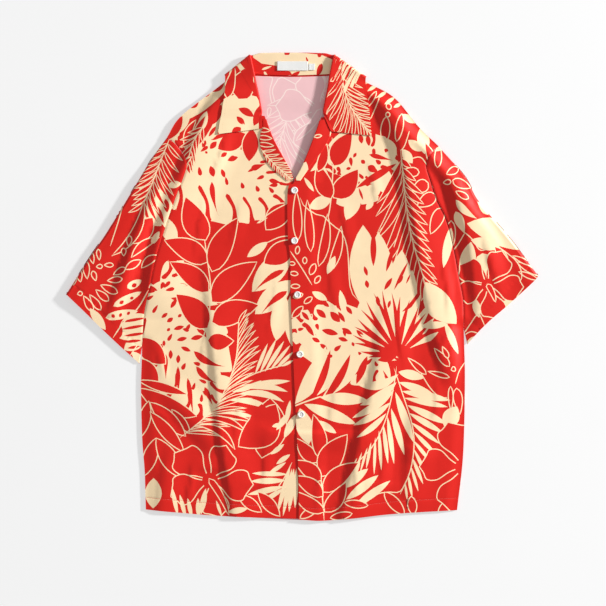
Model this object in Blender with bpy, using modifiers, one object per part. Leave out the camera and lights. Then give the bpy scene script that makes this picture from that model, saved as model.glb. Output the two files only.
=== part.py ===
"""Short-sleeved camp-collar shirt, laid flat on its back with its fronts up.

Every size here is in millimetres and becomes metres when a mesh is made. +X is the wearer's
left, +Y runs from the hem to the collar and +Z is up from the surface that the shirt lies on.
Each panel is a flat cut piece: its outline is ruled into a grid, given the cloth's thickness
and then draped, so that every point takes the height at which the shirt lies there.
"""

import math

import bmesh
import bpy
import numpy as np

MM = 0.001

# Cloth
CLOTH = 1.2                  # wall of one layer of the printed cloth
COLLAR_WALL = 1.6            # wall of the collar, two layers sewn and turned
GAP = 0.3                    # between pieces that are sewn to each other
REST = 2 * CLOTH + GAP       # top of a front where it lies straight on the back
AIR = 2.0                    # how much higher the fronts lie inside the seams
EDGE_RAMP = 22.0             # distance from a closed edge over which they rise to that

# Neck and shoulders
NECK_X = -17.0               # middle of the neck
LEAF_LOW = 282.0             # where the back starts to climb over the hidden collar leaf
LEAF_HALF = 112.0            # half the width of that climb
LEAF_RAMP = 30.0
NECK_LIFT = COLLAR_WALL + 0.5
SHOULDER_LIFT = 3.0          # the shoulders curl up from the surface
SHOULDER_REACH = 28.0
ROLL_RISE = 2.4              # the fronts rise to the rolled edges of the neck V
ROLL_REACH = 17.0

# Sleeves
FOLD_RADIUS = 4.2            # rounded fold along the top of each sleeve
SEAM_RADIUS = REST / 2       # where the sleeve's two layers lie straight on each other
FOLD_SOFT = 20.0             # distance over which the cloth settles beside that fold

# Rows and columns of the panels
SIDE_ROWS = 10
CHEST_ROWS = 8               # hem side of the armhole, beside the placket
LAPEL_ROWS = 5               # beside the neck V
NECK_ROWS = 5                # beside the neck seam
ARM_ROWS = CHEST_ROWS + LAPEL_ROWS + NECK_ROWS
FRONT_COLUMNS = 16
EDGE_CLOSER = 1.35           # columns come closer together towards the front edge
BACK_COLUMNS = 14
SLEEVE_ROWS = 9

# Outline of each side, starting at the hem: x, y
SIDE = {
    "right": [(-257, -368), (-259, -305), (-263, -252), (-265, -174), (-264, -128), (-263, -97)],
    "left": [(256, -369), (265, -292), (268, -226), (269, -148), (268, -103), (267, -69)],
}
# Armhole, from the underarm to the end of the shoulder: x, y
ARMHOLE = {
    "right": [(-263, -97), (-259, -42), (-250, -3), (-241, 41), (-222, 103), (-204, 154),
              (-194, 180), (-189, 204), (-205, 231), (-222, 245)],
    "left": [(267, -69), (266, -23), (259, 15), (251, 60), (240, 106), (223, 142),
             (212, 175), (205, 198), (210, 215), (225, 231)],
}
# Shoulder, from its end to the neck: x, y
SHOULDER = {
    "right": [(-222, 245), (-200, 279), (-143, 324), (-125, 338), (-118, 343), (-102, 352)],
    "left": [(225, 231), (193, 262), (152, 311), (108, 335), (99, 340), (68, 352)],
}
# Fold along the top of the sleeve, from the shoulder to the cuff: x, y
SLEEVE_TOP = {
    "right": [(-222, 245), (-246, 212), (-273, 168), (-294, 133), (-325, 83), (-346, 53), (-388, -13)],
    "left": [(225, 231), (268, 182), (291, 141), (332, 92), (353, 66), (389, 18)],
}
# Cuff, from the underarm seam to the fold: x, y
CUFF = {
    "right": [(-268, -127), (-312, -87), (-361, -39), (-388, -13)],
    "left": [(273, -95), (305, -61), (342, -29), (383, 9), (389, 18)],
}
# Hem, from the side seam to the front edge: x, y
HEM = {
    "right": [(-257, -368), (-215, -372), (-123, -379), (20, -384)],
    "left": [(256, -369), (155, -375), (42, -386), (-5, -384)],
}
# Front edge of the left front, which overlaps, from the hem to the foot of the neck V: x, y
FRONT_EDGE = [(-5, -384), (-5, -325), (-7, -270), (-10, -207), (-13, -143), (-15, -89), (-18, -26),
              (-19, 43), (-23, 83), (-23, 159), (-14, 169)]
OVERLAP = 25.0               # how far the right front runs under the left one
OVERLAP_TOP = 164.0          # where the right front's edge turns into the neck V
# Rolled edge of the neck V, from its foot up: x, y
ROLL = {
    "right": [(-13, 171), (-21, 193), (-44, 235), (-55, 261), (-61, 280.5)],
    "left": [(-14, 169), (3, 201), (23, 251), (32, 278)],
}
# Neck seam of the front, from the rolled edge to the shoulder: x, y
NECK_SEAM = {
    "right": [(-61, 280.5), (-73, 282), (-85, 294), (-89, 311), (-96, 327), (-102, 340), (-102, 352)],
    "left": [(32, 278), (45, 280), (54, 291), (57, 306), (63, 324), (69, 337), (68, 352)],
}
BACK_NECK = [(-102, 352), (-95, 349), (-82, 347), (-18, 345), (48, 347), (61, 349), (68, 352)]
# Outer edge of each turned-out facing, from the foot of the V up: x, y
FACING_EDGE = {
    "right": [(-24, 173), (-54, 200), (-68, 228), (-68, 253)],
    "left": [(-2, 174), (16, 200), (36, 226), (48, 250)],
}
FACING_TOP = {"right": [(-64.3, 259.5), (-64.7, 275)], "left": [(45.3, 259.5), (37.5, 275)]}
FACING_OVER = 1.4            # how far a facing rolls past its front's edge
FACING_ROWS = 10
FACING_COLUMNS = 3

# Largest folds: how wide each is to the left and to the right of its crest, and the crest
FOLDS = [
    # left, right, crest: x, y, height
    (20, 78, [(-128, 334, 2.6), (-141, 307, 6.0), (-184, 210, 7.4), (-216, 134, 7.4), (-237, 60, 6.8),
              (-247, 2, 6.0), (-250, -52, 0.0)]),
    (16, 22, [(-208, 206, 0.0), (-238, 154, 4.6), (-264, 98, 6.2), (-288, 30, 6.2), (-312, -42, 2.6)]),
    (16, 58, [(-158, 66, 0.0), (-148, -38, 3.2), (-137, -171, 5.4), (-132, -237, 5.6), (-115, -336, 4.4),
              (-110, -376, 3.2)]),
    (30, 40, [(-237, -158, 0.0), (-190, -205, 4.2), (-152, -250, 3.6), (-128, -286, 0.0)]),
    (20, 66, [(112, 334, 2.2), (124, 318, 5.0), (161, 241, 7.6), (182, 139, 7.6), (202, 15, 7.2),
              (231, -109, 5.6), (251, -166, 0.0)]),
    (19, 58, [(184, 258, 0.0), (222, 205, 5.0), (251, 159, 7.2), (278, 66, 7.2), (294, -50, 2.8)]),
    (19, 70, [(140, -16, 0.0), (133, -80, 3.6), (128, -132, 5.4), (99, -254, 6.8), (80, -336, 5.6),
              (71, -377, 4.0)]),
    (28, 34, [(-28, -240, 0.0), (-58, -247, 2.8), (-98, -236, 0.0)]),
    (12, 30, [(300, 96, 0.0), (312, 44, 2.8), (330, -10, 1.0)]),
    (18, 50, [(-60, 60, 0.0), (-74, -40, 1.6), (-92, -150, 0.0)]),
    (16, 46, [(190, -160, 0.0), (182, -250, 2.6), (176, -340, 1.8)]),
    (18, 36, [(-212, -250, 0.0), (-222, -310, 2.6), (-228, -366, 1.6)]),
]

# Collar, from the notch to the back of the neck. Each row is a section through it: the seam it
# is sewn to, the roll where the stand turns into the leaf, the leaf's edge, the turn round the
# neck (90 on the fronts, 0 at the shoulder's fold, -90 behind the neck), how many degrees the
# cloth bends at the roll (0 at the notch, which has no stand), and the roll's radius and height.
COLLAR = {
    "right": [
        # seam,        roll,           edge,        turn, bend, radius, height
        ((-66, 262), (-65.0, 260.0), (-138, 250), 90, 0, 1.6, 3.8),
        ((-66, 272), (-65.4, 271.0), (-135, 269), 90, 0, 1.6, 5.6),
        ((-67, 283), (-65.8, 282.0), (-132, 283), 90, 40, 1.9, 7.4),
        ((-72, 286), (-66.0, 286.0), (-131.3, 287.5), 90, 110, 1.4, 8.2),
        ((-72, 290), (-66.2, 290.0), (-130.5, 292), 90, 180, 1.8, 8.8),
        ((-84, 311), (-70.8, 316), (-128, 308), 90, 180, 2.2, 8.8),
        ((-93, 327), (-74.8, 333), (-126, 325), 90, 180, 2.2, 8.8),
        ((-100, 340), (-79, 355), (-126, 336), 90, 180, 1.9, 8.8),
        ((-97.3, 350.6), (-84.3, 378.7), (-126.3, 346.2), 60, 180, 1.6, 8.2),
        ((-97.6, 352), (-84.8, 380), (-127, 348), 0, 180, 1.6, 5.4),
        ((-96.2, 351.9), (-82.9, 379.9), (-125.8, 346.8), -65, 180, 1.6, 2.6),
        ((-82, 349.5), (-69, 383.6), (-92, 324), -90, 180, 1.8, 2.6),
        ((-51, 348.5), (-44, 384.4), (-56, 320), -90, 180, 2.1, 2.9),
        ((-18, 347.5), (-16, 384.4), (-18, 318), -90, 180, 2.1, 2.9),
    ],
    "left": [
        ((45, 258), (48.0, 255.0), (115, 248), 90, 0, 1.6, 3.8),
        ((42, 270), (42.6, 266.5), (113.5, 266), 90, 0, 1.6, 5.6),
        ((38, 281), (36.8, 280), (112.1, 282), 90, 40, 1.9, 7.4),
        ((42, 285), (36.0, 285), (111.6, 286.5), 90, 110, 1.4, 8.2),
        ((41.4, 290.2), (35.6, 290), (111, 291), 90, 180, 1.8, 8.8),
        ((51, 305), (38.8, 307), (109, 307), 90, 180, 2.2, 8.8),
        ((60, 323), (42.8, 327), (106, 325), 90, 180, 2.2, 8.8),
        ((66.5, 337), (46.5, 350), (105, 335), 90, 180, 1.9, 8.8),
        ((63.8, 350.6), (52.3, 378.7), (105.3, 343.2), 60, 180, 1.6, 8.2),
        ((64, 352), (52.8, 380), (106, 345), 0, 180, 1.6, 5.4),
        ((62.6, 352.2), (50.6, 380.5), (105.0, 344.3), -60, 180, 1.5, 3.0),
        ((48, 350), (38, 383.4), (71, 324), -90, 180, 1.8, 2.6),
        ((15, 348.5), (10, 384.4), (27, 320), -90, 180, 2.1, 2.9),
        ((-18, 347.5), (-16, 384.4), (-18, 318), -90, 180, 2.1, 2.9),
    ],
}
COLLAR_STEPS = 2             # sections modelled for each row of the table
ROLL_STEPS = 7               # places on the stand and the roll of each section
LEAF_STEPS = 5
LEAF_ARCH = 1.3              # how full the leaf is between the roll and its edge

# Buttons, 18 ligne, top to bottom: x, y
BUTTONS = [(-12, 158), (-12, 75), (-7, -14), (-3, -112), (-1, -211)]
BUTTON_RADIUS = 5.7
BUTTON_HEIGHT = 2.6
BUTTON_WELL = 3.9            # radius of the dish inside the rim
BUTTON_HOLE = 0.75
BUTTON_HOLES_APART = 2.6

# Neck label and size tab: middle x, middle y, width, height
LABEL = (-15.0, 363.0, 51.0, 15.0)
SIZE_TAB = (16.5, 361.5, 10.5, 10.5)
LABEL_WALL = 1.0

# sRGB colours
PRINT_RED = (0.83, 0.16, 0.14)
LABEL_WHITE = (0.93, 0.93, 0.91)
BUTTON_WHITE = (0.95, 0.94, 0.93)


def smooth(t):
    """Soft step from 0 to 1."""
    t = np.clip(t, 0.0, 1.0)
    return t * t * (3.0 - 2.0 * t)


def through(points, count):
    """Places on a smooth curve through the points: both ends and count - 1 between them."""
    p = np.array(points, float)
    ends = np.vstack([2 * p[0] - p[1], p, 2 * p[-1] - p[-2]])
    t = np.linspace(0, 1, 13)[:-1, None]
    runs = []
    for a, b, c, d in zip(ends, ends[1:], ends[2:], ends[3:]):
        bend = (2 * a - 5 * b + 4 * c - d) * t ** 2 + (3 * b - a - 3 * c + d) * t ** 3
        runs.append(0.5 * (2 * b + (c - a) * t + bend))
    line = np.vstack(runs + [p[-1:]])
    steps = np.linalg.norm(np.diff(line, axis=0), axis=1)
    far = np.concatenate([[0.0], np.cumsum(steps)])
    at = np.linspace(0, far[-1], count + 1)
    return np.stack([np.interp(at, far, line[:, k]) for k in range(p.shape[1])], axis=1)


def distance(x, y, line):
    """Plan distance from places to a line through points."""
    place = np.stack(np.broadcast_arrays(x, y), axis=-1)[..., None, :]
    start = line[:-1]
    run = line[1:] - start
    t = np.clip(((place - start) * run).sum(-1) / (run * run).sum(-1), 0, 1)
    return np.linalg.norm(place - (start + t[..., None] * run), axis=-1).min(-1)


# Curves that more than one piece uses
ARM_LINE = {side: through(ARMHOLE[side], ARM_ROWS) for side in ARMHOLE}
SHOULDER_LINE = {side: through(SHOULDER[side], 12) for side in SHOULDER}
ROLL_LINE = {side: through(ROLL[side], 10) for side in ROLL}
CLOSED_EDGES = [
    edge
    for side in SIDE
    for edge in (through(SIDE[side], 12), SHOULDER_LINE[side], through(SLEEVE_TOP[side], 12),
                 np.array([SIDE[side][-1], CUFF[side][0]], float))
]


def lift(x, y):
    """Height of the underside: over the hidden leaf of the collar and curled up at the shoulders."""
    wide = smooth((LEAF_HALF + 1.5 * LEAF_RAMP - abs(x - NECK_X)) / (1.5 * LEAF_RAMP))
    over_leaf = wide * smooth((y - LEAF_LOW) / LEAF_RAMP)
    near = np.minimum(distance(x, y, SHOULDER_LINE["right"]), distance(x, y, SHOULDER_LINE["left"]))
    curl = np.exp(-(near / SHOULDER_REACH) ** 2) * smooth((abs(x - NECK_X) - LEAF_HALF) / 80.0)
    return NECK_LIFT * over_leaf + SHOULDER_LIFT * curl


CRESTS = [(left, right, through(crest, 4 * len(crest))) for left, right, crest in FOLDS]


def fold_height(x, y, fold):
    """Height that one fold adds: a soft ridge along its crest, steeper on one side."""
    left, right, crest = fold
    best, rise = np.full(np.shape(x), 1e9), np.zeros(np.shape(x))
    for (x1, y1, h1), (x2, y2, h2) in zip(crest, crest[1:]):
        ux, uy = x2 - x1, y2 - y1
        t = np.clip(((x - x1) * ux + (y - y1) * uy) / (ux * ux + uy * uy), 0, 1)
        dx, dy = x - x1 - t * ux, y - y1 - t * uy
        far = np.hypot(dx, dy)
        width = np.where(dx * uy - dy * ux > 0, left, right)
        up = (h1 + (h2 - h1) * t) * np.clip(1 - (far / width) ** 2, 0, 1) ** 2
        rise = np.where(far < best, up, rise)
        best = np.minimum(best, far)
    return rise


def lie(x, y):
    """Height of the outer face of the upper layer, from the fronts to the sleeves."""
    inside = smooth(np.min([distance(x, y, edge) for edge in CLOSED_EDGES], axis=0) / EDGE_RAMP)
    rise = AIR * inside
    for fold in CRESTS:
        rise = rise + inside * fold_height(x, y, fold)
    near = np.minimum(distance(x, y, ROLL_LINE["right"]), distance(x, y, ROLL_LINE["left"]))
    rise = rise + ROLL_RISE * smooth((y - 165.0) / 90.0) * np.exp(-(near / ROLL_REACH) ** 2)
    low = lift(x, y)
    for dx, dy in ((9, 0), (-9, 0), (0, 9), (0, -9)):
        low = np.maximum(low, lift(x + dx, y + dy))
    return low + REST + rise


def overlap_step(x, y):
    """How much higher the left front lies where the right one is under it."""
    under = np.interp(y, *FRONT_X) + OVERLAP
    return (CLOTH + GAP + 0.1) * smooth((under + 26.0 - x) / 20.0) * smooth((215.0 - y) / 40.0)


def front_edge_by_height():
    """The front edge as x over y, for the overlap."""
    line = through(FRONT_EDGE, 40)
    order = np.argsort(line[:, 1])
    return line[order, 1], line[order, 0]


FRONT_X = front_edge_by_height()


# Meshes -----------------------------------------------------------------------------------------

def linear(colour):
    """sRGB colour as Blender's linear values."""
    return [c / 12.92 if c <= 0.04045 else ((c + 0.055) / 1.055) ** 2.4 for c in colour] + [1.0]


def material(name, colour, roughness):
    """Principled material."""
    made = bpy.data.materials.new(name)
    made.use_nodes = True
    shader = made.node_tree.nodes["Principled BSDF"]
    shader.inputs["Base Color"].default_value = linear(colour)
    shader.inputs["Roughness"].default_value = roughness
    shader.inputs["Metallic"].default_value = 0.0
    return made


def add_object(name, bm, finish, shirt):
    """Mesh in millimetres to an object in metres."""
    bmesh.ops.scale(bm, vec=(MM, MM, MM), verts=bm.verts)
    mesh = bpy.data.meshes.new(name)
    bm.to_mesh(mesh)
    bm.free()
    mesh.materials.append(finish)
    mesh.shade_smooth()
    mesh.set_sharp_from_angle(angle=math.radians(40))
    piece = bpy.data.objects.new(name, mesh)
    shirt.objects.link(piece)
    return piece


def grid(bm, points, closed=False):
    """Faces between the rows of an array of points; closed joins each row's end to its start."""
    rows = [[bm.verts.new(point) for point in row] for row in points]
    for low, high in zip(rows, rows[1:]):
        across = list(zip(low, low[1:], high[1:], high))
        if closed:
            across.append((low[-1], low[0], high[0], high[-1]))
        for corners in across:
            bm.faces.new(corners)
    return rows


def draped(name, plan, height, wall, finish, shirt):
    """Flat cut piece of a thickness, ruled into rows, that is then let down to its heights.

    height(x, y) gives the underside.
    """
    bm = bmesh.new()
    flat = np.dstack([plan[..., 0], plan[..., 1], np.zeros(plan.shape[:2])])
    grid(bm, flat)
    bmesh.ops.recalc_face_normals(bm, faces=bm.faces)
    made = bmesh.ops.extrude_face_region(bm, geom=bm.faces[:])
    upper = [item for item in made["geom"] if isinstance(item, bmesh.types.BMVert)]
    bmesh.ops.translate(bm, vec=(0, 0, wall), verts=upper)
    places = np.array([vert.co[:2] for vert in bm.verts])
    for vert, z in zip(bm.verts, height(places[:, 0], places[:, 1])):
        vert.co.z += z
    bmesh.ops.recalc_face_normals(bm, faces=bm.faces)
    return add_object(name, bm, finish, shirt)


def ruled(start, end, columns, closer=1.0):
    """Places between two curves of equal length, row by row, closer together at the end."""
    t = (1 - np.linspace(1, 0, columns + 1) ** closer)[None, :, None]
    return start[:, None, :] * (1 - t) + end[:, None, :] * t


# Pieces -----------------------------------------------------------------------------------------

def outer_edge(side, rows_below):
    """Side seam and armhole of a panel, from the hem to the end of the shoulder."""
    seam = through(SIDE[side], rows_below)
    return np.vstack([seam, ARM_LINE[side][1:]])


def inner_edge(side):
    """Front edge, rolled edge and neck seam of a front, from the hem to the shoulder."""
    edge = FRONT_EDGE
    if side == "right":
        edge = [(x + OVERLAP, y) for x, y in FRONT_EDGE[:-2]] + [(4, OVERLAP_TOP), (-13, 171)]
    placket = through(edge, SIDE_ROWS + CHEST_ROWS)
    roll = through(ROLL[side], LAPEL_ROWS)
    neck = through(NECK_SEAM[side], NECK_ROWS)
    return np.vstack([placket, roll[1:], neck[1:]])


def bend_to(plan, row, curve, reach=4):
    """Moves a row of the plan onto a curve, and the rows beside it by less."""
    shift = curve - plan[row]
    count = len(plan)
    for step in range(reach):
        other = row - step if row else step
        if 0 <= other < count:
            plan[other] += shift * (1 - step / reach)


def front_plan(side):
    """Plan of a front, from its armhole side to its front edge."""
    plan = ruled(outer_edge(side, SIDE_ROWS), inner_edge(side), FRONT_COLUMNS, EDGE_CLOSER)
    for row, curve in ((0, HEM[side]), (len(plan) - 1, SHOULDER[side])):
        fine = through(curve, 200)
        t = 1 - np.linspace(1, 0, FRONT_COLUMNS + 1) ** EDGE_CLOSER
        bend_to(plan, row, fine[np.round(t * 200).astype(int)])
    return plan


def front(side, finish, shirt):
    """One front. The left one lies over the right one along the placket."""
    step = overlap_step if side == "left" else lambda x, y: 0.0
    return draped(f"front_{side}", front_plan(side),
                  lambda x, y: lie(x, y) + step(x, y) - CLOTH, CLOTH, finish, shirt)


def back_plan():
    """Plan of the back, from its right side to its left one."""
    sides = {}
    for side in SIDE:
        arm = ARM_LINE[side][::2]
        seam = through(SIDE[side], 6)
        shoulder = through(SHOULDER[side], 5)
        sides[side] = np.vstack([seam, arm[1:], shoulder[1:]])
    plan = ruled(sides["right"], sides["left"], BACK_COLUMNS)
    hem = HEM["right"][:-1] + HEM["left"][-2::-1]
    bend_to(plan, 0, through(hem, BACK_COLUMNS))
    bend_to(plan, len(plan) - 1, through(BACK_NECK, BACK_COLUMNS), reach=3)
    return plan


def back(finish, shirt):
    """The back, flat on the surface but for the shoulders and the collar's leaf under it."""
    return draped("back", back_plan(), lift, CLOTH, finish, shirt)


def sleeve_loop(upper, lower, away, radius, soft, inset):
    """Closed loop round the sleeve: over the top layer, round the underarm, back below.

    upper and lower are the places from the fold to the underarm, away points from the sleeve
    across its underarm seam (at the armhole, along that), and inset moves the loop inwards.
    """
    loop = []
    fold, under = upper[0], upper[-1]
    along = (under - fold) / np.linalg.norm(under - fold)
    base_fold, base_under = lift(*fold), lift(*under)
    bend = radius - inset
    for angle in (180, 135, 90):
        turn = math.radians(angle)
        place = fold + along * (radius + bend * math.cos(turn))
        loop.append((*place, base_fold + radius + bend * math.sin(turn)))
    for place in upper[1:-1]:
        from_fold = np.linalg.norm(place - fold)
        puff = soft * math.exp(-max(from_fold - radius, 0.0) / FOLD_SOFT)
        loop.append((*place, float(lie(*place)) + puff - inset))
    seam_bend = SEAM_RADIUS - inset
    away = along if away is None else away
    for angle in (90, 45, 0, -45, -90):
        turn = math.radians(angle)
        place = under + away * (seam_bend * math.cos(turn) - SEAM_RADIUS)
        loop.append((*place, base_under + SEAM_RADIUS + seam_bend * math.sin(turn)))
    for place in lower[-2:0:-1]:
        loop.append((*place, float(lift(*place)) + inset))
    for angle in (270, 225):
        turn = math.radians(angle)
        place = fold + along * (radius + bend * math.cos(turn))
        loop.append((*place, base_fold + radius + bend * math.sin(turn)))
    return loop


def sleeve_lines(side):
    """Plan of the sleeve: one row of places from the fold to the underarm for each section."""
    arm = ARM_LINE[side][::-1]
    cuff = through(CUFF[side], ARM_ROWS)[::-1]
    top = through(SLEEVE_TOP[side], SLEEVE_ROWS)
    lines = []
    for row in range(SLEEVE_ROWS + 1):
        t = row / SLEEVE_ROWS
        line = arm * (1 - t) + cuff * t
        fade = np.linspace(1, 0, ARM_ROWS + 1)[:, None]
        lines.append(line + (top[row] - line[0]) * fade)
    run = np.gradient(arm, axis=0)
    run /= np.linalg.norm(run, axis=1)[:, None]
    turn = -1.0 if side == "left" else 1.0
    lines[0] = lines[0] + np.stack([run[:, 1], -run[:, 0]], axis=1) * turn * GAP * 1.2
    return lines


def sleeve(side, finish, shirt):
    """A sleeve: one piece round the arm, flattened to a tube that is open at both ends."""
    outer, inner = [], []
    lines = sleeve_lines(side)
    seam = lines[-1][-1] - lines[0][-1]
    away = np.array([seam[1], -seam[0]]) / np.linalg.norm(seam)
    away *= 1.0 if side == "left" else -1.0
    for row, line in enumerate(lines):
        side_way = away if row else None
        grown = smooth(row / 3.0)
        radius = SEAM_RADIUS + (FOLD_RADIUS - SEAM_RADIUS) * grown
        soft = 2 * (radius - SEAM_RADIUS)
        lower = line[::2]
        outer.append(sleeve_loop(line, lower, side_way, radius, soft, 0.0))
        inner.append(sleeve_loop(line, lower, side_way, radius, soft, CLOTH))
    bm = bmesh.new()
    outside = grid(bm, outer, closed=True)
    inside = grid(bm, inner, closed=True)
    for a, b in ((outside[0], inside[0]), (outside[-1], inside[-1])):
        ring = list(zip(a, a[1:] + a[:1], b[1:] + b[:1], b))
        for corners in ring:
            bm.faces.new(corners)
    bmesh.ops.recalc_face_normals(bm, faces=bm.faces)
    return add_object(f"sleeve_{side}", bm, finish, shirt)


def facing(side, finish, shirt):
    """The part of a facing that is turned out beside the neck V, lying on its front."""
    roll = through(ROLL[side], 40)
    roll = roll[(roll[:, 1] > FACING_EDGE[side][0][1]) & (roll[:, 1] < FACING_TOP[side][-1][1])]
    toward_neck = 1.0 if side == "right" else -1.0
    inner = through(roll[::4], FACING_ROWS)
    inner[:, 0] += toward_neck * FACING_OVER
    edge = [tuple(point) for point in FACING_EDGE[side]]
    outer = np.vstack([through(edge, FACING_ROWS - 3),
                       through(FACING_TOP[side], 2)])
    plan = ruled(outer, inner, FACING_COLUMNS)

    def underside(x, y):
        step = overlap_step(x, y) if side == "left" else 0.0
        return lie(x, y) + step + GAP

    return draped(f"facing_{side}", plan, underside, CLOTH, finish, shirt)


# Collar -----------------------------------------------------------------------------------------

def collar_sections():
    """The collar's sections from one notch to the other, with as many again between them."""
    rows = []
    table = COLLAR["right"] + COLLAR["left"][-2::-1]
    for number, (seam, roll, edge, *rest) in enumerate(table):
        side = 1.0 if number < len(COLLAR["right"]) else -1.0
        rows.append((*seam, *roll, *edge, *rest, side))
    made = []
    for low, high in zip(rows, rows[1:]):
        for step in range(COLLAR_STEPS):
            t = step / COLLAR_STEPS
            made.append([a * (1 - t) + b * t for a, b in zip(low, high)])
    return made + [list(rows[-1])]


def over_fronts(x, y, apart=7.0):
    """Height that clears the fronts' upper faces round a place."""
    around = ((0, 0), (apart, 0), (-apart, 0), (0, apart), (0, -apart))
    return max(float(lie(x + dx, y + dy)) for dx, dy in around) + GAP


def collar_path(section):
    """Middle of the collar's wall, from the seam over the roll to the leaf's edge."""
    seam, roll, edge = np.array(section[0:2]), np.array(section[2:4]), np.array(section[4:6])
    turn, bend = math.radians(section[6]), math.radians(section[7])
    radius, height, side = section[8:11]
    on_front = (1 + math.sin(turn)) / 2
    half = COLLAR_WALL / 2
    edge_z = over_fronts(*edge) * on_front + half
    seam_z = (lie(*seam) + 0.4) * on_front + (lift(*seam) + 0.5) * (1 - on_front)
    out = (edge - roll) / np.linalg.norm(edge - roll)
    across = np.array([*out, 0.0])
    sideways = np.array([-out[1], out[0], 0.0]) * -side
    up = sideways * math.cos(turn) + np.array([0, 0, 1.0]) * math.sin(turn)
    # the roll, from the leaf back to the stand, as places along `across` and `up`
    flat = [np.zeros(2)]
    for step in range(ROLL_STEPS):
        a = bend * min(step + 0.5, 4) / 4
        length = 0.765 * radius if step < 4 else 0.35
        flat.append(flat[-1] - length * np.array([math.cos(a), math.sin(a)]))
    flat = np.array(flat[:ROLL_STEPS])
    flat[:, 0] -= flat[:, 0].min()
    top = np.array([*roll, height]) + up * radius
    path = [top + across * a + up * u for a, u in flat[::-1]]
    if bend > 3.1:
        path[0] = np.array([*seam, seam_z])
        path[1] = (path[0] + path[2]) / 2
    leaf_from = path[-1]
    for step in range(1, LEAF_STEPS + 1):
        t = step / LEAF_STEPS
        place = leaf_from[:2] * (1 - t) + edge * t
        z = edge_z + (leaf_from[2] - edge_z) * (1 - t) ** LEAF_ARCH
        path.append(np.array([*place, z]))
    if section[6] > 80:
        for place in path[ROLL_STEPS - 1:] if bend > 1 else path:
            place[2] = max(place[2], over_fronts(*place[:2]) + half)
    return path


def collar(finish, shirt):
    """Camp collar: stand and leaf in one sheet that folds over at the roll, all round the neck."""
    bm = bmesh.new()
    grid(bm, [collar_path(section) for section in collar_sections()])
    bmesh.ops.recalc_face_normals(bm, faces=bm.faces)
    piece = add_object("collar", bm, finish, shirt)
    wall = piece.modifiers.new("wall", "SOLIDIFY")
    wall.thickness = COLLAR_WALL * MM
    wall.offset = 0.0
    return piece


# Trims ------------------------------------------------------------------------------------------

def stand_height(x, y):
    """Height of the top of the stand behind the neck."""
    radius, height = COLLAR["right"][-1][5:7]
    seam_top = NECK_LIFT + 0.5 + COLLAR_WALL / 2
    roll_top = height + radius + COLLAR_WALL / 2
    return seam_top + (roll_top - seam_top) * np.clip((y - 347.5) / 34.0, 0, 1)


def label(name, box, finish, shirt):
    """A woven label lying on the stand."""
    middle_x, middle_y, width, height = box
    xs = np.linspace(middle_x - width / 2, middle_x + width / 2, 4)
    ys = np.linspace(middle_y - height / 2, middle_y + height / 2, 3)
    plan = np.dstack(np.meshgrid(xs, ys))
    return draped(name, plan, lambda x, y: stand_height(x, y) + GAP + 0.2, LABEL_WALL, finish, shirt)


def button(number, finish, shirt):
    """Four-hole button: a turned blank with a dish inside its rim, drilled through."""
    x, y = BUTTONS[number - 1]
    profile = [(0.0, 0.0), (4.6, 0.0), (BUTTON_RADIUS, 0.9), (BUTTON_RADIUS, 1.7), (4.9, BUTTON_HEIGHT),
               (BUTTON_WELL, BUTTON_HEIGHT), (3.3, 1.8), (0.0, 1.8)]
    bm = bmesh.new()
    verts = [bm.verts.new((r, 0, z)) for r, z in reversed(profile)]
    edges = [bm.edges.new(pair) for pair in zip(verts, verts[1:])]
    bmesh.ops.spin(bm, geom=verts + edges, cent=(0, 0, 0), axis=(0, 0, 1), angle=math.tau,
                   steps=18, use_merge=True)
    bmesh.ops.remove_doubles(bm, verts=bm.verts, dist=0.001)
    bmesh.ops.recalc_face_normals(bm, faces=bm.faces)
    around = [(x + BUTTON_RADIUS * math.cos(a), y + BUTTON_RADIUS * math.sin(a))
              for a in np.linspace(0, math.tau, 16)]
    seat = max(float(lie(*place) + overlap_step(*place)) for place in around + [(x, y)])
    bmesh.ops.translate(bm, vec=(x, y, seat + GAP), verts=bm.verts)
    return add_object(f"button_{number}", bm, finish, shirt), seat


def drill(piece, number, seat, cutters):
    """The four holes of a button."""
    x, y = BUTTONS[number - 1]
    bm = bmesh.new()
    for sx in (-1, 1):
        for sy in (-1, 1):
            hole = bmesh.ops.create_cone(bm, cap_ends=True, segments=8, radius1=BUTTON_HOLE,
                                         radius2=BUTTON_HOLE, depth=3 * BUTTON_HEIGHT)
            place = (x + sx * BUTTON_HOLES_APART / 2, y + sy * BUTTON_HOLES_APART / 2, seat)
            bmesh.ops.translate(bm, vec=place, verts=hole["verts"])
    bmesh.ops.scale(bm, vec=(MM, MM, MM), verts=bm.verts)
    mesh = bpy.data.meshes.new(f"holes_{number}")
    bm.to_mesh(mesh)
    bm.free()
    cutter = bpy.data.objects.new(f"holes_{number}", mesh)
    cutter.hide_render = True
    cutter.display_type = "WIRE"
    cutters.objects.link(cutter)
    cut = piece.modifiers.new("holes", "BOOLEAN")
    cut.object = cutter
    cut.operation = "DIFFERENCE"


def build():
    """The whole shirt."""
    for old in list(bpy.data.objects):
        bpy.data.objects.remove(old)
    shirt = bpy.data.collections.new("hawaiian_shirt")
    cutters = bpy.data.collections.new("cutters")
    bpy.context.scene.collection.children.link(shirt)
    bpy.context.scene.collection.children.link(cutters)
    cloth = material("printed_cloth", PRINT_RED, 0.6)
    woven = material("woven_label", LABEL_WHITE, 0.7)
    resin = material("button_resin", BUTTON_WHITE, 0.3)
    back(cloth, shirt)
    for side in ("right", "left"):
        front(side, cloth, shirt)
        sleeve(side, cloth, shirt)
        facing(side, cloth, shirt)
    collar(cloth, shirt)
    label("label", LABEL, woven, shirt)
    label("size_tab", SIZE_TAB, woven, shirt)
    for number in range(1, len(BUTTONS) + 1):
        piece, seat = button(number, resin, shirt)
        drill(piece, number, seat, cutters)


build()
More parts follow.
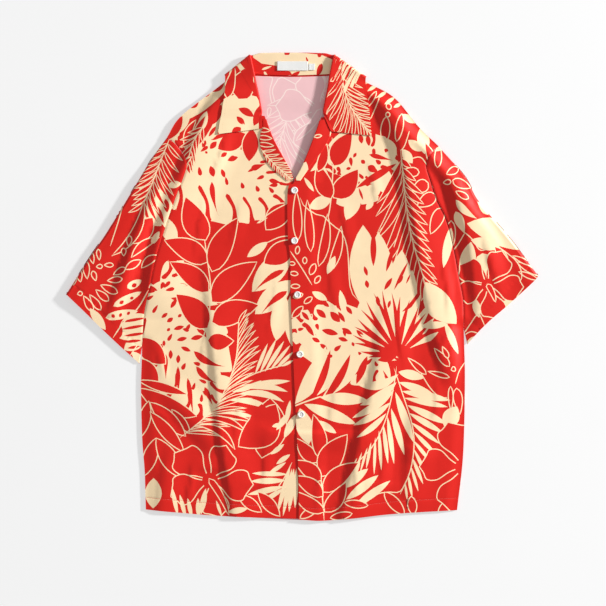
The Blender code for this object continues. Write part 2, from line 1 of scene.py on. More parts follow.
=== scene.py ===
"""Short-sleeved camp-collar shirt in a leaf print, laid flat on its back with its fronts up.

Every size is in millimetres and becomes metres when a mesh is made. +X is the wearer's left,
+Y runs from the hem to the collar and +Z is up from the surface that the shirt lies on. Each
piece is cut in plan, with the edges of its print as edges of its triangles, and then let down to
the heights at which the cloth lies.
"""

import math

import bmesh
import bpy
import numpy as np
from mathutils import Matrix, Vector
from mathutils.geometry import delaunay_2d_cdt


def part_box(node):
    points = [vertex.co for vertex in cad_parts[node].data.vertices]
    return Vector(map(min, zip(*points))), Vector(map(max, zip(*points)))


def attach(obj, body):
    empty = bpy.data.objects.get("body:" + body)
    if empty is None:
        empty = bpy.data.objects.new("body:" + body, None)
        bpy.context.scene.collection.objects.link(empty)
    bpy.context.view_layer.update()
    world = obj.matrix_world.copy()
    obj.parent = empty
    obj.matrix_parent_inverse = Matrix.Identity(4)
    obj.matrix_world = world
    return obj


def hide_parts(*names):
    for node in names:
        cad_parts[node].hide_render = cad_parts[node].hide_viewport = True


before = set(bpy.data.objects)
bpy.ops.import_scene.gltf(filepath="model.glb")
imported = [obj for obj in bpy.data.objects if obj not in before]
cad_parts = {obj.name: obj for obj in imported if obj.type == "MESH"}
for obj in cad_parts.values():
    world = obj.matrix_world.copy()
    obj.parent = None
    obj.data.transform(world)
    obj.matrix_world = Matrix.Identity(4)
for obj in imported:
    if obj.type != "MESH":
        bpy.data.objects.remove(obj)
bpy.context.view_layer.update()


# Back -------------------------------------------------------------------------------------------
# One piece of smooth printed polyester from side seam to side seam, cut straight across with no
# yoke. It lies face down, so that its paler wrong side, where the print shows through, is what
# shows inside the neck.

MM = 0.001
CLOTH = 1.2                  # wall of one layer of cloth
GAP = 0.3                    # between pieces that are sewn to each other
COLLAR_WALL = 1.6
NECK_X = -17.0               # middle of the neck
LEAF_LOW = 282.0             # where the back starts to climb over the hidden collar leaf
LEAF_HALF = 112.0
LEAF_RAMP = 30.0
NECK_LIFT = COLLAR_WALL + 0.5
SHOULDER_LIFT = 3.0          # the shoulders curl up from the surface
SHOULDER_REACH = 28.0
SHOULDER_GROWS = 80.0        # distance from the collar over which they start to
SAME = 0.02                  # places nearer to each other than this are one
PRINT_RED = "#DD1B0F"
PRINT_CREAM = "#FFE3B8"
WRONG_RED = "#F3C5C7"        # the two inks seen through the cloth
WRONG_CREAM = "#FBE3DC"
BACK_PITCH = 9.0             # spacing of the grid that fills the back's outline
THREAD_PITCH = 0.9           # threads are 0.25 apart, drawn coarser so that they show
LINE = 1.7                   # width of a drawn line of the print

# Outline of each side, starting at the hem: x, y
SIDE = {
    "right": [(-257, -368), (-259, -305), (-263, -252), (-265, -174), (-264, -128), (-263, -97)],
    "left": [(256, -369), (265, -292), (268, -226), (269, -148), (268, -103), (267, -69)],
}
# Armhole, from the underarm to the end of the shoulder: x, y
ARMHOLE = {
    "right": [(-263, -97), (-259, -42), (-250, -3), (-241, 41), (-222, 103), (-204, 154),
              (-194, 180), (-189, 204), (-205, 231), (-222, 245)],
    "left": [(267, -69), (266, -23), (259, 15), (251, 60), (240, 106), (223, 142),
             (212, 175), (205, 198), (210, 215), (225, 231)],
}
# Shoulder, from its end to the neck: x, y
SHOULDER = {
    "right": [(-222, 245), (-200, 279), (-143, 324), (-125, 338), (-118, 343), (-102, 352)],
    "left": [(225, 231), (193, 262), (152, 311), (108, 335), (99, 340), (68, 352)],
}
BACK_NECK = [(-102, 352), (-95, 349), (-82, 347), (-18, 345), (48, 347), (61, 349), (68, 352)]
BACK_HEM = [(-257, -368), (-215, -372), (-123, -379), (42, -386), (155, -375), (256, -369)]


def smooth(t):
    """Soft step from 0 to 1."""
    t = np.clip(t, 0.0, 1.0)
    return t * t * (3.0 - 2.0 * t)


def curve(a, b, c, d, t):
    """Place on a smooth curve through four, at a share t of the way from the second to the third."""
    bend = (2 * a - 5 * b + 4 * c - d) * t ** 2 + (3 * b - a - 3 * c + d) * t ** 3
    return 0.5 * (2 * b + (c - a) * t + bend)


def through(points, count):
    """Places on a smooth curve through the points: both ends and count - 1 between them."""
    p = np.array(points, float)
    ends = np.vstack([2 * p[0] - p[1], p, 2 * p[-1] - p[-2]])
    t = np.linspace(0, 1, 13)[:-1, None]
    runs = [curve(*four, t) for four in zip(ends, ends[1:], ends[2:], ends[3:])]
    line = np.vstack(runs + [p[-1:]])
    far = np.concatenate([[0.0], np.cumsum(np.linalg.norm(np.diff(line, axis=0), axis=1))])
    at = np.linspace(0, far[-1], count + 1)
    return np.stack([np.interp(at, far, line[:, k]) for k in range(p.shape[1])], axis=1)


def distance(x, y, line):
    """Plan distance from places to a line through points."""
    place = np.stack(np.broadcast_arrays(x, y), axis=-1)[..., None, :]
    start = line[:-1]
    run = line[1:] - start
    t = np.clip(((place - start) * run).sum(-1) / (run * run).sum(-1), 0, 1)
    return np.linalg.norm(place - (start + t[..., None] * run), axis=-1).min(-1)


def joined(*curves):
    """One closed outline from curves that follow each other end to end."""
    return np.vstack([curve[:-1] for curve in curves])


def area_of(outline):
    """Area inside a closed outline, more than nothing if it runs anticlockwise."""
    ahead = np.roll(outline, -1, axis=0)
    return float((outline[:, 0] * ahead[:, 1] - ahead[:, 0] * outline[:, 1]).sum() / 2)


def within(places, outline):
    """Which places the outline winds round."""
    x, y = places[:, 0], places[:, 1]
    turns = np.zeros(len(places), int)
    for (x1, y1), (x2, y2) in zip(outline, np.roll(outline, -1, axis=0)):
        if y1 != y2:
            passed = ((y1 > y) != (y2 > y)) & (x < x1 + (y - y1) * (x2 - x1) / (y2 - y1))
            turns += passed * (1 if y2 > y1 else -1)
    return turns != 0


def cut(outline, motifs, spacing, rows=()):
    """A flat piece in triangles, with its outline and the edges of its print kept as edges.

    Returns the places, each triangle's corners and its ink: 1 where the last motif that covers
    it is cream and 0 where it is red. rows are more places, where the form needs them.
    """
    low, high = outline.min(0), outline.max(0)
    across = np.arange(low[0] + spacing / 2, high[0], spacing)
    up = np.arange(low[1] + spacing / 2, high[1], spacing)
    inner = np.vstack([np.dstack(np.meshgrid(across, up)).reshape(-1, 2), *rows])
    inner = inner[within(inner, outline)]
    near = [(shape, ink) for shape, ink in motifs
            if (shape.max(0) > low).all() and (shape.min(0) < high).all()]
    loops = [outline] + [shape for shape, ink in near]
    edges, start = [], 0
    for loop in loops:
        edges += [(start + n, start + (n + 1) % len(loop)) for n in range(len(loop))]
        start += len(loop)
    points = [Vector(place) for place in np.vstack(loops + [inner])]
    found = delaunay_2d_cdt(points, edges, [], 0, SAME, False)
    places, corners = np.array(found[0]), np.array(found[2])
    middle = places[corners].mean(1)
    kept = within(middle, outline)
    corners, middle = corners[kept], middle[kept]
    ink = np.zeros(len(middle))
    for shape, value in near:
        close = np.flatnonzero((middle > shape.min(0)).all(1) & (middle < shape.max(0)).all(1))
        ink[close[within(middle[close], shape)]] = value
    used, corners = np.unique(corners, return_inverse=True)
    return places[used], corners.reshape(-1, 3), ink


def smooth_mesh(bm, name, *finishes):
    """Mesh of a bmesh, smoothly shaded and with its finishes."""
    mesh = bpy.data.meshes.new(name)
    bm.to_mesh(mesh)
    bm.free()
    for finish in finishes:
        mesh.materials.append(finish)
    mesh.shade_smooth()
    return mesh


def placed(name, data):
    """An object of a mesh, light or camera, put into the scene."""
    made = bpy.data.objects.new(name, data)
    bpy.context.scene.collection.objects.link(made)
    return made


def shell(name, corners, ink, outer, inner, outward, finishes):
    """A closed wall of cloth between two sheets of the same triangles, printed on the outer one.

    outward holds the outer sheet's normals, which both sheets are shaded with.
    """
    bm = bmesh.new()
    number = bm.verts.layers.int.new("number")
    inked = bm.faces.layers.float.new("ink")
    sheet = bm.faces.layers.int.new("sheet")     # 1 outside, 2 inside; rims have four corners
    verts = [bm.verts.new(place) for place in outer * MM]
    for count, vert in enumerate(verts):
        vert[number] = count
    for three, value in zip(corners, ink):
        face = bm.faces.new([verts[corner] for corner in three])
        face[inked] = value
        face[sheet] = 1
    made = bmesh.ops.extrude_face_region(bm, geom=bm.faces[:])
    for item in made["geom"]:
        if isinstance(item, bmesh.types.BMVert):
            item.co = inner[item[number]] * MM
        elif isinstance(item, bmesh.types.BMFace):
            item[sheet] = 2
            item.material_index = 1
    bmesh.ops.recalc_face_normals(bm, faces=bm.faces)
    if bm.calc_volume(signed=True) < 0:
        bmesh.ops.reverse_faces(bm, faces=bm.faces)
    mesh = smooth_mesh(bm, name, *finishes)
    numbers = np.zeros(len(mesh.vertices), int)
    mesh.attributes["number"].data.foreach_get("value", numbers)
    corner_of = np.zeros(len(mesh.loops), int)
    mesh.loops.foreach_get("vertex_index", corner_of)
    sheets = np.zeros(len(mesh.polygons), int)
    mesh.attributes["sheet"].data.foreach_get("value", sheets)
    sizes = np.zeros(len(mesh.polygons), int)
    mesh.polygons.foreach_get("loop_total", sizes)
    facing = np.array([0.0, 1.0, -1.0])[np.repeat(np.where(sizes == 4, 0, sheets), sizes)]
    mesh.normals_split_custom_set(outward[numbers[corner_of]] * facing[:, None])
    return placed(name, mesh)


def upward(height, x, y, step=0.5):
    """Normals of a surface that height(x, y) gives."""
    across = (height(x + step, y) - height(x - step, y)) / (2 * step)
    up = (height(x, y + step) - height(x, y - step)) / (2 * step)
    normal = np.stack([-across, -up, np.ones_like(across)], axis=1)
    return normal / np.linalg.norm(normal, axis=1)[:, None]


# The print: every motif is a list of closed shapes with their ink, painted in that order.

def blade(root, tip, width, belly=0.4, bend=0.0, plump=0.85, count=9):
    """A leaf, petal or drop from its root to its tip, widest at the belly."""
    root, along = np.array(root, float), np.subtract(tip, root).astype(float)
    side = np.array([-along[1], along[0]])
    t = np.linspace(0, 1, count + 2)[:, None]
    swell = np.sin(np.pi * t ** (math.log(0.5) / math.log(belly))).clip(0) ** plump
    half = width / 2 / np.linalg.norm(along) * swell
    spine = root + along * t + side * bend * 4 * t * (1 - t)
    return np.vstack([spine + side * half, (spine - side * half)[-2:0:-1]])


def grown(shape, by):
    """The shape with its outline moved outwards, or inwards where by is below 0."""
    ahead = np.roll(shape, -1, axis=0) - np.roll(shape, 1, axis=0)
    out = np.stack([ahead[:, 1], -ahead[:, 0]], axis=1)
    out /= np.linalg.norm(out, axis=1)[:, None] + 1e-9
    return shape + out * by * (1 if area_of(shape) > 0 else -1)


def leaves(*rows, belly=0.5, plump=0.8):
    """A blade for each row: x and y of its root, of its tip, its width and maybe its bend."""
    return [blade(row[:2], row[2:4], row[4], belly, (*row[5:], 0.0)[0], plump) for row in rows]


def filled(*shapes, ink=1):
    """Shapes of one ink."""
    return [(np.asarray(shape, float), ink) for shape in shapes]


def drawn(*shapes, width=LINE):
    """Red shapes outlined in cream, each over the ones before it."""
    made = []
    for shape in shapes:
        made += [(grown(shape, width / 2), 1), (grown(shape, -width / 2), 0)]
    return made


def in_cream(*rows, **form):
    """Leaves filled with cream."""
    return filled(*leaves(*rows, **form))


def in_red(*rows, **form):
    """Leaves filled with red, such as the drops and the slits of a cream one."""
    return filled(*leaves(*rows, **form), ink=0)


def in_lines(*rows, **form):
    """Red leaves drawn in outline."""
    return drawn(*leaves(*rows, **form))


def leftward(line):
    """Directions to the left of a line at its places."""
    run = np.gradient(line, axis=0)
    run /= np.linalg.norm(run, axis=1)[:, None]
    return np.stack([-run[:, 1], run[:, 0]], axis=1)


def stroke(points, width=LINE, count=16, ink=1):
    """A drawn line that thins out at its ends."""
    line = through(points, count)
    side = leftward(line)
    t = np.linspace(0, 1, count + 1)[:, None]
    half = width / 2 * np.minimum(1, 0.25 + 8 * t * (1 - t))
    return [(np.vstack([line + side * half, (line - side * half)[::-1]]), ink)]


def set_out(points, root, tip):
    """Leaf coordinates in mm, along and across it, as places in plan."""
    root, tip = np.asarray(root, float), np.asarray(tip, float)
    along = (tip - root) / math.dist(root, tip)
    across = np.array([-along[1], along[0]])
    points = np.asarray(points, float)
    return root + points[..., :1] * along + points[..., 1:] * across


# Half the margin of a split leaf, as shares of its length and of half its width: along, across
HALF_HEART = [(0.05, 0.0), (-0.08, 0.3), (-0.06, 0.66), (0.12, 0.95), (0.38, 1.0), (0.64, 0.84),
              (0.86, 0.5), (1.0, 0.0)]
MARGIN_STEPS = 240


def monstera(root, tip, width, slits=6, depth=0.6, gap=6.0, lean=0.1, sweep=0.1, plain=False, seed=1):
    """A split leaf: a broad heart with slits from its margin and drops on each side of its midrib.

    Filled with cream and its drops with red, or drawn in cream lines on red if plain. depth is
    how far a slit runs to the midrib, gap its width in millimetres, lean how far it is aimed back
    to the stalk, as a share of the leaf's length, and sweep how much it curves.
    """
    vary = np.random.default_rng(seed)
    margin = through(HALF_HEART, MARGIN_STEPS)
    shape = np.array([math.dist(root, tip), width / 2])
    sides, drops = [], []
    for sign in (1, -1):
        runs, begun = [margin[:1] * shape], 4
        for share in np.linspace(0.2, 0.9, slits) + vary.uniform(-0.015, 0.015, slits):
            at = int(MARGIN_STEPS * share)
            mouth = margin[at] * shape
            rib = np.array([max(margin[at, 0] - lean - 0.1 * margin[at, 1], 0.07) * shape[0], 0.0])
            run = mouth - rib
            length = np.linalg.norm(run)
            side = np.array([-run[1], run[0]]) / length
            far = depth * vary.uniform(0.84, 1.1)
            wide = min(gap, 0.24 * length) / 2 * vary.uniform(0.8, 1.25)
            t = np.linspace(0, 1, 16)[:, None]
            bow = side * sweep * far * length * np.sin(t * 5.2 - 0.5) * t ** 0.5
            line = mouth - run * far * t - bow
            girth = 1.15 + 0.6 * (1 - t) ** 4 - 0.45 * np.sin(np.pi * t) + 0.5 * t ** 3
            girth *= np.sqrt(1 - t ** 8)
            walls = [line + side * wide * girth * way for way in (-1, 1)]
            if np.dot(walls[0][0] - walls[1][0], (margin[at - 5] - margin[at + 5]) * shape) < 0:
                walls.reverse()
            off = np.linalg.norm((margin - margin[at]) * shape, axis=1)
            step = max(int((off[at - 30:at] < wide * 1.8).sum()), 1)
            end = margin[begun:at - step] * shape
            span = np.linspace(0, 1, len(end))
            swell = (span ** 1.6 * (1 - span ** 14))[:, None]
            runs += [end + (end - rib) / np.linalg.norm(end - rib, axis=1)[:, None] * swell * gap * 0.9,
                     walls[0], walls[1][-2::-1]]
            begun = at + step
            if length > 3.4 * gap:
                middle = rib + run * (1 - far) * 0.52
                reach = run / length * min(gap * vary.uniform(0.9, 1.35), (1 - far) * length * 0.36)
                drops.append([(middle - reach) * [1, sign], (middle + reach) * [1, sign],
                              vary.uniform(0.9, 1.2)])
        runs.append(margin[begun:-1] * shape)
        sides.append(np.vstack(runs) * [1, sign])
    outline = set_out(np.vstack([sides[0], margin[-1:] * shape, sides[1][:0:-1]]), root, tip)
    holes = [blade(*set_out([b, a], root, tip), gap * part, 0.35, plump=0.72) for a, b, part in drops]
    if not plain:
        return filled(outline) + filled(*holes, ink=0)
    rib = set_out(shape * [[0.1, 0], [0.5, 0.03], [0.9, 0]], root, tip)
    return drawn(outline, *holes) + stroke(rib)


def heading(run, degrees):
    """A direction turned anticlockwise."""
    turn = math.radians(degrees)
    return np.array([run[0] * math.cos(turn) - run[1] * math.sin(turn),
                     run[0] * math.sin(turn) + run[1] * math.cos(turn)])


RIB_STEPS = 160
RIB_BARE = 0.04              # share of a frond's midrib that bears no blades


def frond(rib, longest, full, pairs=14, spread=52, sides=(1, -1), ends=(0.72, 0.6), plain=False, seed=1):
    """A palm frond: narrow blades that run forward from both sides of a midrib.

    full is a blade's width as a share of the space between two, spread its angle to the midrib
    in degrees, and ends are the lengths of the first and the last blade as shares of the longest.
    """
    vary = np.random.default_rng(seed)
    line, first = through(rib, RIB_STEPS), RIB_BARE
    space = np.linalg.norm(np.diff(line, axis=0), axis=1).sum() * (1 - first) / pairs
    blades = []
    for n in range(pairs):
        t = first + (1 - first) * (n + 0.5) / pairs
        at, ahead = line[int(RIB_STEPS * t)], line[min(int(RIB_STEPS * t) + 5, RIB_STEPS)]
        run = (ahead - at) / (np.linalg.norm(ahead - at) + 1e-9)
        for side in sides:
            length = longest * float(np.interp(t, (0, 0.3, 0.6, 1), (ends[0], 1, 1, ends[1])))
            length *= vary.uniform(0.86, 1.08)
            way = heading(run, side * (spread * (1 - 0.4 * t) + vary.uniform(-4, 4)))
            width = full * space * vary.uniform(0.85, 1.1)
            blades.append(blade(at, at + way * length, width, 0.45, side * -0.06, 1.0, 8))
    if plain:
        return drawn(*blades, width=LINE * 0.8) + stroke(rib, LINE, 24)
    return filled(*blades) + stroke(rib, LINE * 0.8, 24, 0)


def fan(centre, ways, width, ink=1, belly=0.5, plain=False):
    """Blades from one place, each given as its direction in degrees and its length."""
    blades = [blade(centre, np.array(centre) + heading((1, 0), way) * length, width, belly,
                    0.03 * (-1) ** n, 1.0, 8) for n, (way, length) in enumerate(ways)]
    return drawn(*blades) if plain else filled(*blades, ink=ink)


def sprig(stem, ovals, veined=True):
    """A stem with ovate leaves drawn over it: each a root, a tip and a width."""
    made = stroke(stem, LINE * 1.1, 24)
    for number, (root, tip, width) in enumerate(ovals):
        made += drawn(blade(root, tip, width, 0.4, 0.05 * (-1) ** number))
        if veined:
            made += stroke([root, (np.array(root) + tip) / 2, tip], LINE * 0.7, 6)
    return made


# One petal of a hibiscus, as shares of the flower's radius: along, across. Out to its tip and back
PETAL_OUT = [(0.1, 0.03), (0.34, 0.15), (0.6, 0.34), (0.84, 0.35), (0.93, 0.2), (1.04, 0.06)]
PETAL_BACK = [(1.04, 0.06), (0.9, -0.2), (0.82, -0.36), (0.56, -0.36), (0.32, -0.16), (0.1, -0.03)]


def hibiscus(centre, radius, turn=0, pistil=None, between=()):
    """A hibiscus seen from the front: five broad petals with pointed tips, drawn in outline.

    The petals run into each other at the centre. The gaps named in between are filled with cream.
    """
    centre, made, petals = np.array(centre), [], []
    shape = np.vstack([through(PETAL_OUT, 24), through(PETAL_BACK, 24)[1:]])
    for petal in range(5):
        way = turn + 72 * petal + 7 * math.sin(petal * 2.3)
        big = radius * (1 + 0.09 * math.sin(petal * 1.9 + turn))
        petals.append(centre + big * (shape[:, :1] * heading((1, 0), way)
                                      + shape[:, 1:] * heading((1, 0), way + 90)))
        if petal in between:
            out = heading((1, 0), way + 36)
            made += filled(blade(centre + out * radius * 0.2, centre + out * radius * 0.98,
                                 radius * 0.44, 0.8, plump=0.6))
    made += drawn(*petals)
    t = np.linspace(0, 2 * np.pi, 17)[:-1, None]
    made += filled(centre + radius * 0.2 * np.hstack([np.cos(t), np.sin(t)]), ink=0)
    if pistil:
        made += drawn(blade(centre - (np.array(pistil) - centre) * 0.06, pistil, radius * 0.16, 0.25,
                            0.05, plump=0.5), width=LINE * 0.9)
    return made


# Materials of the cloth

WAVE = 0.314                 # length of a wave texture's band at a scale of 1, in metres


def linear(colour):
    """sRGB hex colour as linear values."""
    parts = [int(colour[n:n + 2], 16) / 255 for n in (1, 3, 5)]
    return [c / 12.92 if c <= 0.04045 else ((c + 0.055) / 1.055) ** 2.4 for c in parts] + [1.0]


def node(tree, kind, inputs=(), **settings):
    """Adds a shader node. inputs are pairs of a socket and a value, or the socket it comes from."""
    made = tree.nodes.new("ShaderNode" + kind)
    for key, value in settings.items():
        setattr(made, key, value)
    for socket, value in dict(inputs).items():
        if isinstance(value, bpy.types.NodeSocket):
            tree.links.new(value, made.inputs[socket])
        else:
            made.inputs[socket].default_value = value
    return made


def blended(tree, factor, low, high):
    """Two sRGB colours mixed by a factor."""
    return node(tree, "Mix", {"Factor": factor, "A": linear(low), "B": linear(high)},
                data_type="RGBA").outputs["Result"]


def finish_of(name, roughness, **sockets):
    """A Principled material whose even values stand on the shader's own sockets."""
    made = bpy.data.materials.new(name)
    made.use_nodes = True
    shader = made.node_tree.nodes["Principled BSDF"]
    shader.inputs["Roughness"].default_value = roughness
    for socket, value in sockets.items():
        shader.inputs[socket.replace("_", " ")].default_value = value
    return made, made.node_tree, shader


def woven_polyester(name, red, cream, roughness, sheen):
    """Plain-woven polyester, piece-printed: fine crossed threads, a soft sheen and even inks.

    To the eye it is smooth and lightly glossy along its folds, with a faint grain both ways.
    """
    made, tree, shader = finish_of(name, roughness, Sheen_Weight=sheen, Sheen_Roughness=0.4,
                                   Specular_IOR_Level=0.3)
    place = node(tree, "TexCoord").outputs["Object"]
    ink = node(tree, "Attribute", attribute_name="ink").outputs["Fac"]
    threads = []
    for direction in ("X", "Y"):
        wave = node(tree, "TexWave", {"Vector": place, "Scale": WAVE / (THREAD_PITCH * MM),
                                      "Distortion": 0.6, "Detail": 1.0, "Detail Scale": 2.0},
                    bands_direction=direction)
        threads.append(wave.outputs["Fac"])
    weave = node(tree, "Math", {0: threads[0], 1: threads[1]}, operation="MULTIPLY").outputs[0]
    mottle = node(tree, "TexNoise", {"Vector": place, "Scale": 46.0, "Detail": 4.0}).outputs["Fac"]
    printed = blended(tree, ink, red, cream)
    worn = node(tree, "MapRange", {"Value": mottle, "To Min": 0.94, "To Max": 1.05}).outputs[0]
    grain = node(tree, "MapRange", {"Value": weave, "To Min": 0.95, "To Max": 1.04}).outputs[0]
    value = node(tree, "Math", {0: worn, 1: grain}, operation="MULTIPLY").outputs[0]
    colour = node(tree, "HueSaturation", {"Color": printed, "Value": value})
    tree.links.new(colour.outputs[0], shader.inputs["Base Color"])
    rough = node(tree, "MapRange", {"Value": mottle, "To Min": roughness - 0.05,
                                    "To Max": roughness + 0.06}).outputs[0]
    tree.links.new(rough, shader.inputs["Roughness"])
    bump = node(tree, "Bump", {"Height": weave, "Strength": 0.12, "Distance": 0.0002})
    tree.links.new(bump.outputs[0], shader.inputs["Normal"])
    return made


right_side = woven_polyester("woven_polyester_printed", PRINT_RED, PRINT_CREAM, 0.5, 0.04)
wrong_side = woven_polyester("woven_polyester_wrong_side", WRONG_RED, WRONG_CREAM, 0.62, 0.05)
FINISHES = (right_side, wrong_side)

ARM_LINE = {side: through(ARMHOLE[side], 40) for side in ARMHOLE}
SHOULDER_LINE = {side: through(SHOULDER[side], 24) for side in SHOULDER}


def lift(x, y):
    """Height of the underside: over the hidden leaf of the collar and curled up at the shoulders."""
    from_neck, ramp = abs(x - NECK_X), 1.5 * LEAF_RAMP
    wide = smooth((LEAF_HALF + ramp - from_neck) / ramp)
    over_leaf = wide * smooth((y - LEAF_LOW) / LEAF_RAMP)
    near = np.minimum(distance(x, y, SHOULDER_LINE["right"]), distance(x, y, SHOULDER_LINE["left"]))
    curl = np.exp(-(near / SHOULDER_REACH) ** 2) * smooth((from_neck - LEAF_HALF) / SHOULDER_GROWS)
    return NECK_LIFT * over_leaf + SHOULDER_LIFT * curl


back_outline = joined(through(SIDE["right"], 40), ARM_LINE["right"], SHOULDER_LINE["right"],
                      through(BACK_NECK, 24), SHOULDER_LINE["left"][::-1], ARM_LINE["left"][::-1],
                      through(SIDE["left"], 40)[::-1], through(BACK_HEM[::-1], 60))


def strewn(box, step, seed):
    """Leaves and sprigs in staggered rows over a box, each turned and sized a little differently.

    box is its low x and y and its high x and y.
    """
    vary, made = np.random.default_rng(seed), []
    for row, y in enumerate(np.arange(box[1], box[3], step)):
        for column, x in enumerate(np.arange(box[0] + step / 2 * (row % 2), box[2], step)):
            root = np.array([x, y]) + vary.uniform(-0.16, 0.16, 2) * step
            run = heading((1, 0), vary.uniform(0, 360)) * step * vary.uniform(0.9, 1.2)
            side = np.array([-run[1], run[0]]) * 0.4
            stem = [root, root + run * 0.5 + side * 0.3, root + run]
            kind = (2 * row + 3 * column) % 5
            if kind == 0:
                made += monstera(root, root + run, step * 0.9, 5, plain=row % 2 == 0,
                                 seed=row + 10 * column)
            elif kind in (1, 3):
                made += frond(stem, step * 0.42, 0.6, 12, plain=kind == 3, seed=row + 10 * column)
            elif kind == 2:
                made += sprig(stem, [
                    (root + run * part, root + run * (part + 0.3) + side * way, step * 0.24)
                    for part, way in ((0.1, 1), (0.25, -1), (0.45, 1), (0.65, -1), (0.8, 0.5))])
            else:
                made += in_cream(*[
                    (*root, *(root + run * part + side * way), step * 0.2)
                    for part, way in ((0.5, 1.4), (0.75, 0.5), (0.75, -0.5), (0.5, -1.4))])
    return made


back_print = (
    strewn((-250, -350, 280, 240), 98, 61)
    + monstera((60, 150), (-120, 340), 190, plain=True, seed=3)
    + monstera((-40, -60), (-230, 90), 200, seed=4)
    + monstera((90, 60), (235, -90), 190, seed=5)
    + frond([(-10, 330), (-40, 230), (-100, 120)], 62, 0.6, 15, plain=True, seed=6)
    + frond([(120, 300), (160, 190), (150, 70)], 70, 0.6, 15, seed=7)
    + hibiscus((-20, -10), 62, 20, pistil=(30, -50), between=(1, 3))
    + frond([(-200, -120), (-150, -220), (-60, -300)], 75, 0.6, 16, seed=8)
    + monstera((40, -190), (190, -340), 170, plain=True, seed=9)
    + sprig([(10, -100), (0, -180), (-20, -280)],
            [((8, -120), (62, -96), 34), ((4, -150), (-52, -132), 32), ((0, -180), (58, -176), 34),
             ((-4, -215), (-60, -204), 32), ((-12, -250), (44, -252), 32),
             ((-20, -280), (-44, -336), 30)])
    + hibiscus((-190, -320), 56, 50, pistil=(-150, -352), between=(0, 2))
    + hibiscus((30, 290), 70, 34, pistil=(-10, 240))
    + fan((170, 130), [(170, 80), (192, 84), (214, 80), (150, 70)], 15, plain=True)
    + fan((-60, 260), [(200, 90), (222, 86), (244, 80)], 20, plain=True, belly=0.6)
)
places, corners, ink = cut(back_outline, back_print, BACK_PITCH)
x, y = places.T
face_down = np.column_stack([places, lift(x, y)])
outward = -upward(lift, x, y)
back = shell("back_cloth", corners, ink, face_down, face_down + [0, 0, CLOTH], outward, FINISHES)
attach(back, "root")
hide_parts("back")


# Fronts -----------------------------------------------------------------------------------------
# Two printed pieces of the same cloth, the left one over the right one along the placket, each
# hemmed and sewn to the back at the shoulder and the side. They lie loosely, in long folds that
# run down from the shoulders and the armholes.

REST = 2 * CLOTH + GAP       # top of a front where it lies straight on the back
AIR = 2.0                    # how much higher the fronts lie inside the seams
EDGE_RAMP = 22.0
ROLL_RISE = 2.4              # the fronts rise to the rolled edges of the neck V
ROLL_REACH = 17.0
ROLL_FROM = 165.0            # y from which they start to rise
ROLL_GROWS = 90.0
ROOM = 9.0                   # the fronts clear the highest of the back as far round them as this
OVERLAP = 25.0               # how far the right front runs under the left one
OVERLAP_TOP = 164.0
FRONT_PITCH = 6.0            # spacing of the grid that fills a front's outline
STEP_PAST = 26.0             # how far past that the left front comes down to the back again
STEP_RAMP = 20.0
STEP_TOP = 215.0             # y at which the overlap has ended
STEP_FADE = 40.0
SEAM_DIP = 0.7               # how far the cloth is drawn in along a seam
SEAM_REACH = 1.7
SEAM_ROWS = (-4, -2.5, -1.2, 1.2, 2.5, 4)       # places beside a seam, for its dip
HEM_DEPTH = 20.0             # the hem is turned up and stitched this far above its edge
HEM_DIP = 0.35
HEM_REACH = 1.4
HEM_ROWS = (-2.4, -1.2, 0, 1.2, 2.4)

# Hem, from the side seam to the front edge: x, y
HEM = {
    "right": [(-257, -368), (-215, -372), (-123, -379), (20, -384)],
    "left": [(256, -369), (155, -375), (42, -386), (-5, -384)],
}
# Front edge of the left front, from the hem to the foot of the neck V: x, y
FRONT_EDGE = [(-5, -384), (-5, -325), (-7, -270), (-10, -207), (-13, -143), (-15, -89), (-18, -26),
              (-19, 43), (-23, 83), (-23, 159), (-14, 169)]
# Rolled edge of the neck V, from its foot up, and the neck seam from there to the shoulder: x, y
ROLL = {
    "right": [(-13, 171), (-21, 193), (-44, 235), (-55, 261), (-61, 280.5)],
    "left": [(-14, 169), (3, 201), (23, 251), (32, 278)],
}
NECK_SEAM = {
    "right": [(-61, 280.5), (-73, 282), (-85, 294), (-89, 311), (-96, 327), (-102, 340), (-102, 352)],
    "left": [(32, 278), (45, 280), (54, 291), (57, 306), (63, 324), (69, 337), (68, 352)],
}
# The sleeves' fold, from the shoulder to the cuff, and the cuff back to the underarm: x, y
SLEEVE_TOP = {
    "right": [(-222, 245), (-246, 212), (-273, 168), (-294, 133), (-325, 83), (-346, 53), (-388, -13)],
    "left": [(225, 231), (268, 182), (291, 141), (332, 92), (353, 66), (389, 18)],
}
CUFF = {
    "right": [(-268, -127), (-312, -87), (-361, -39), (-388, -13)],
    "left": [(273, -95), (305, -61), (342, -29), (383, 9), (389, 18)],
}
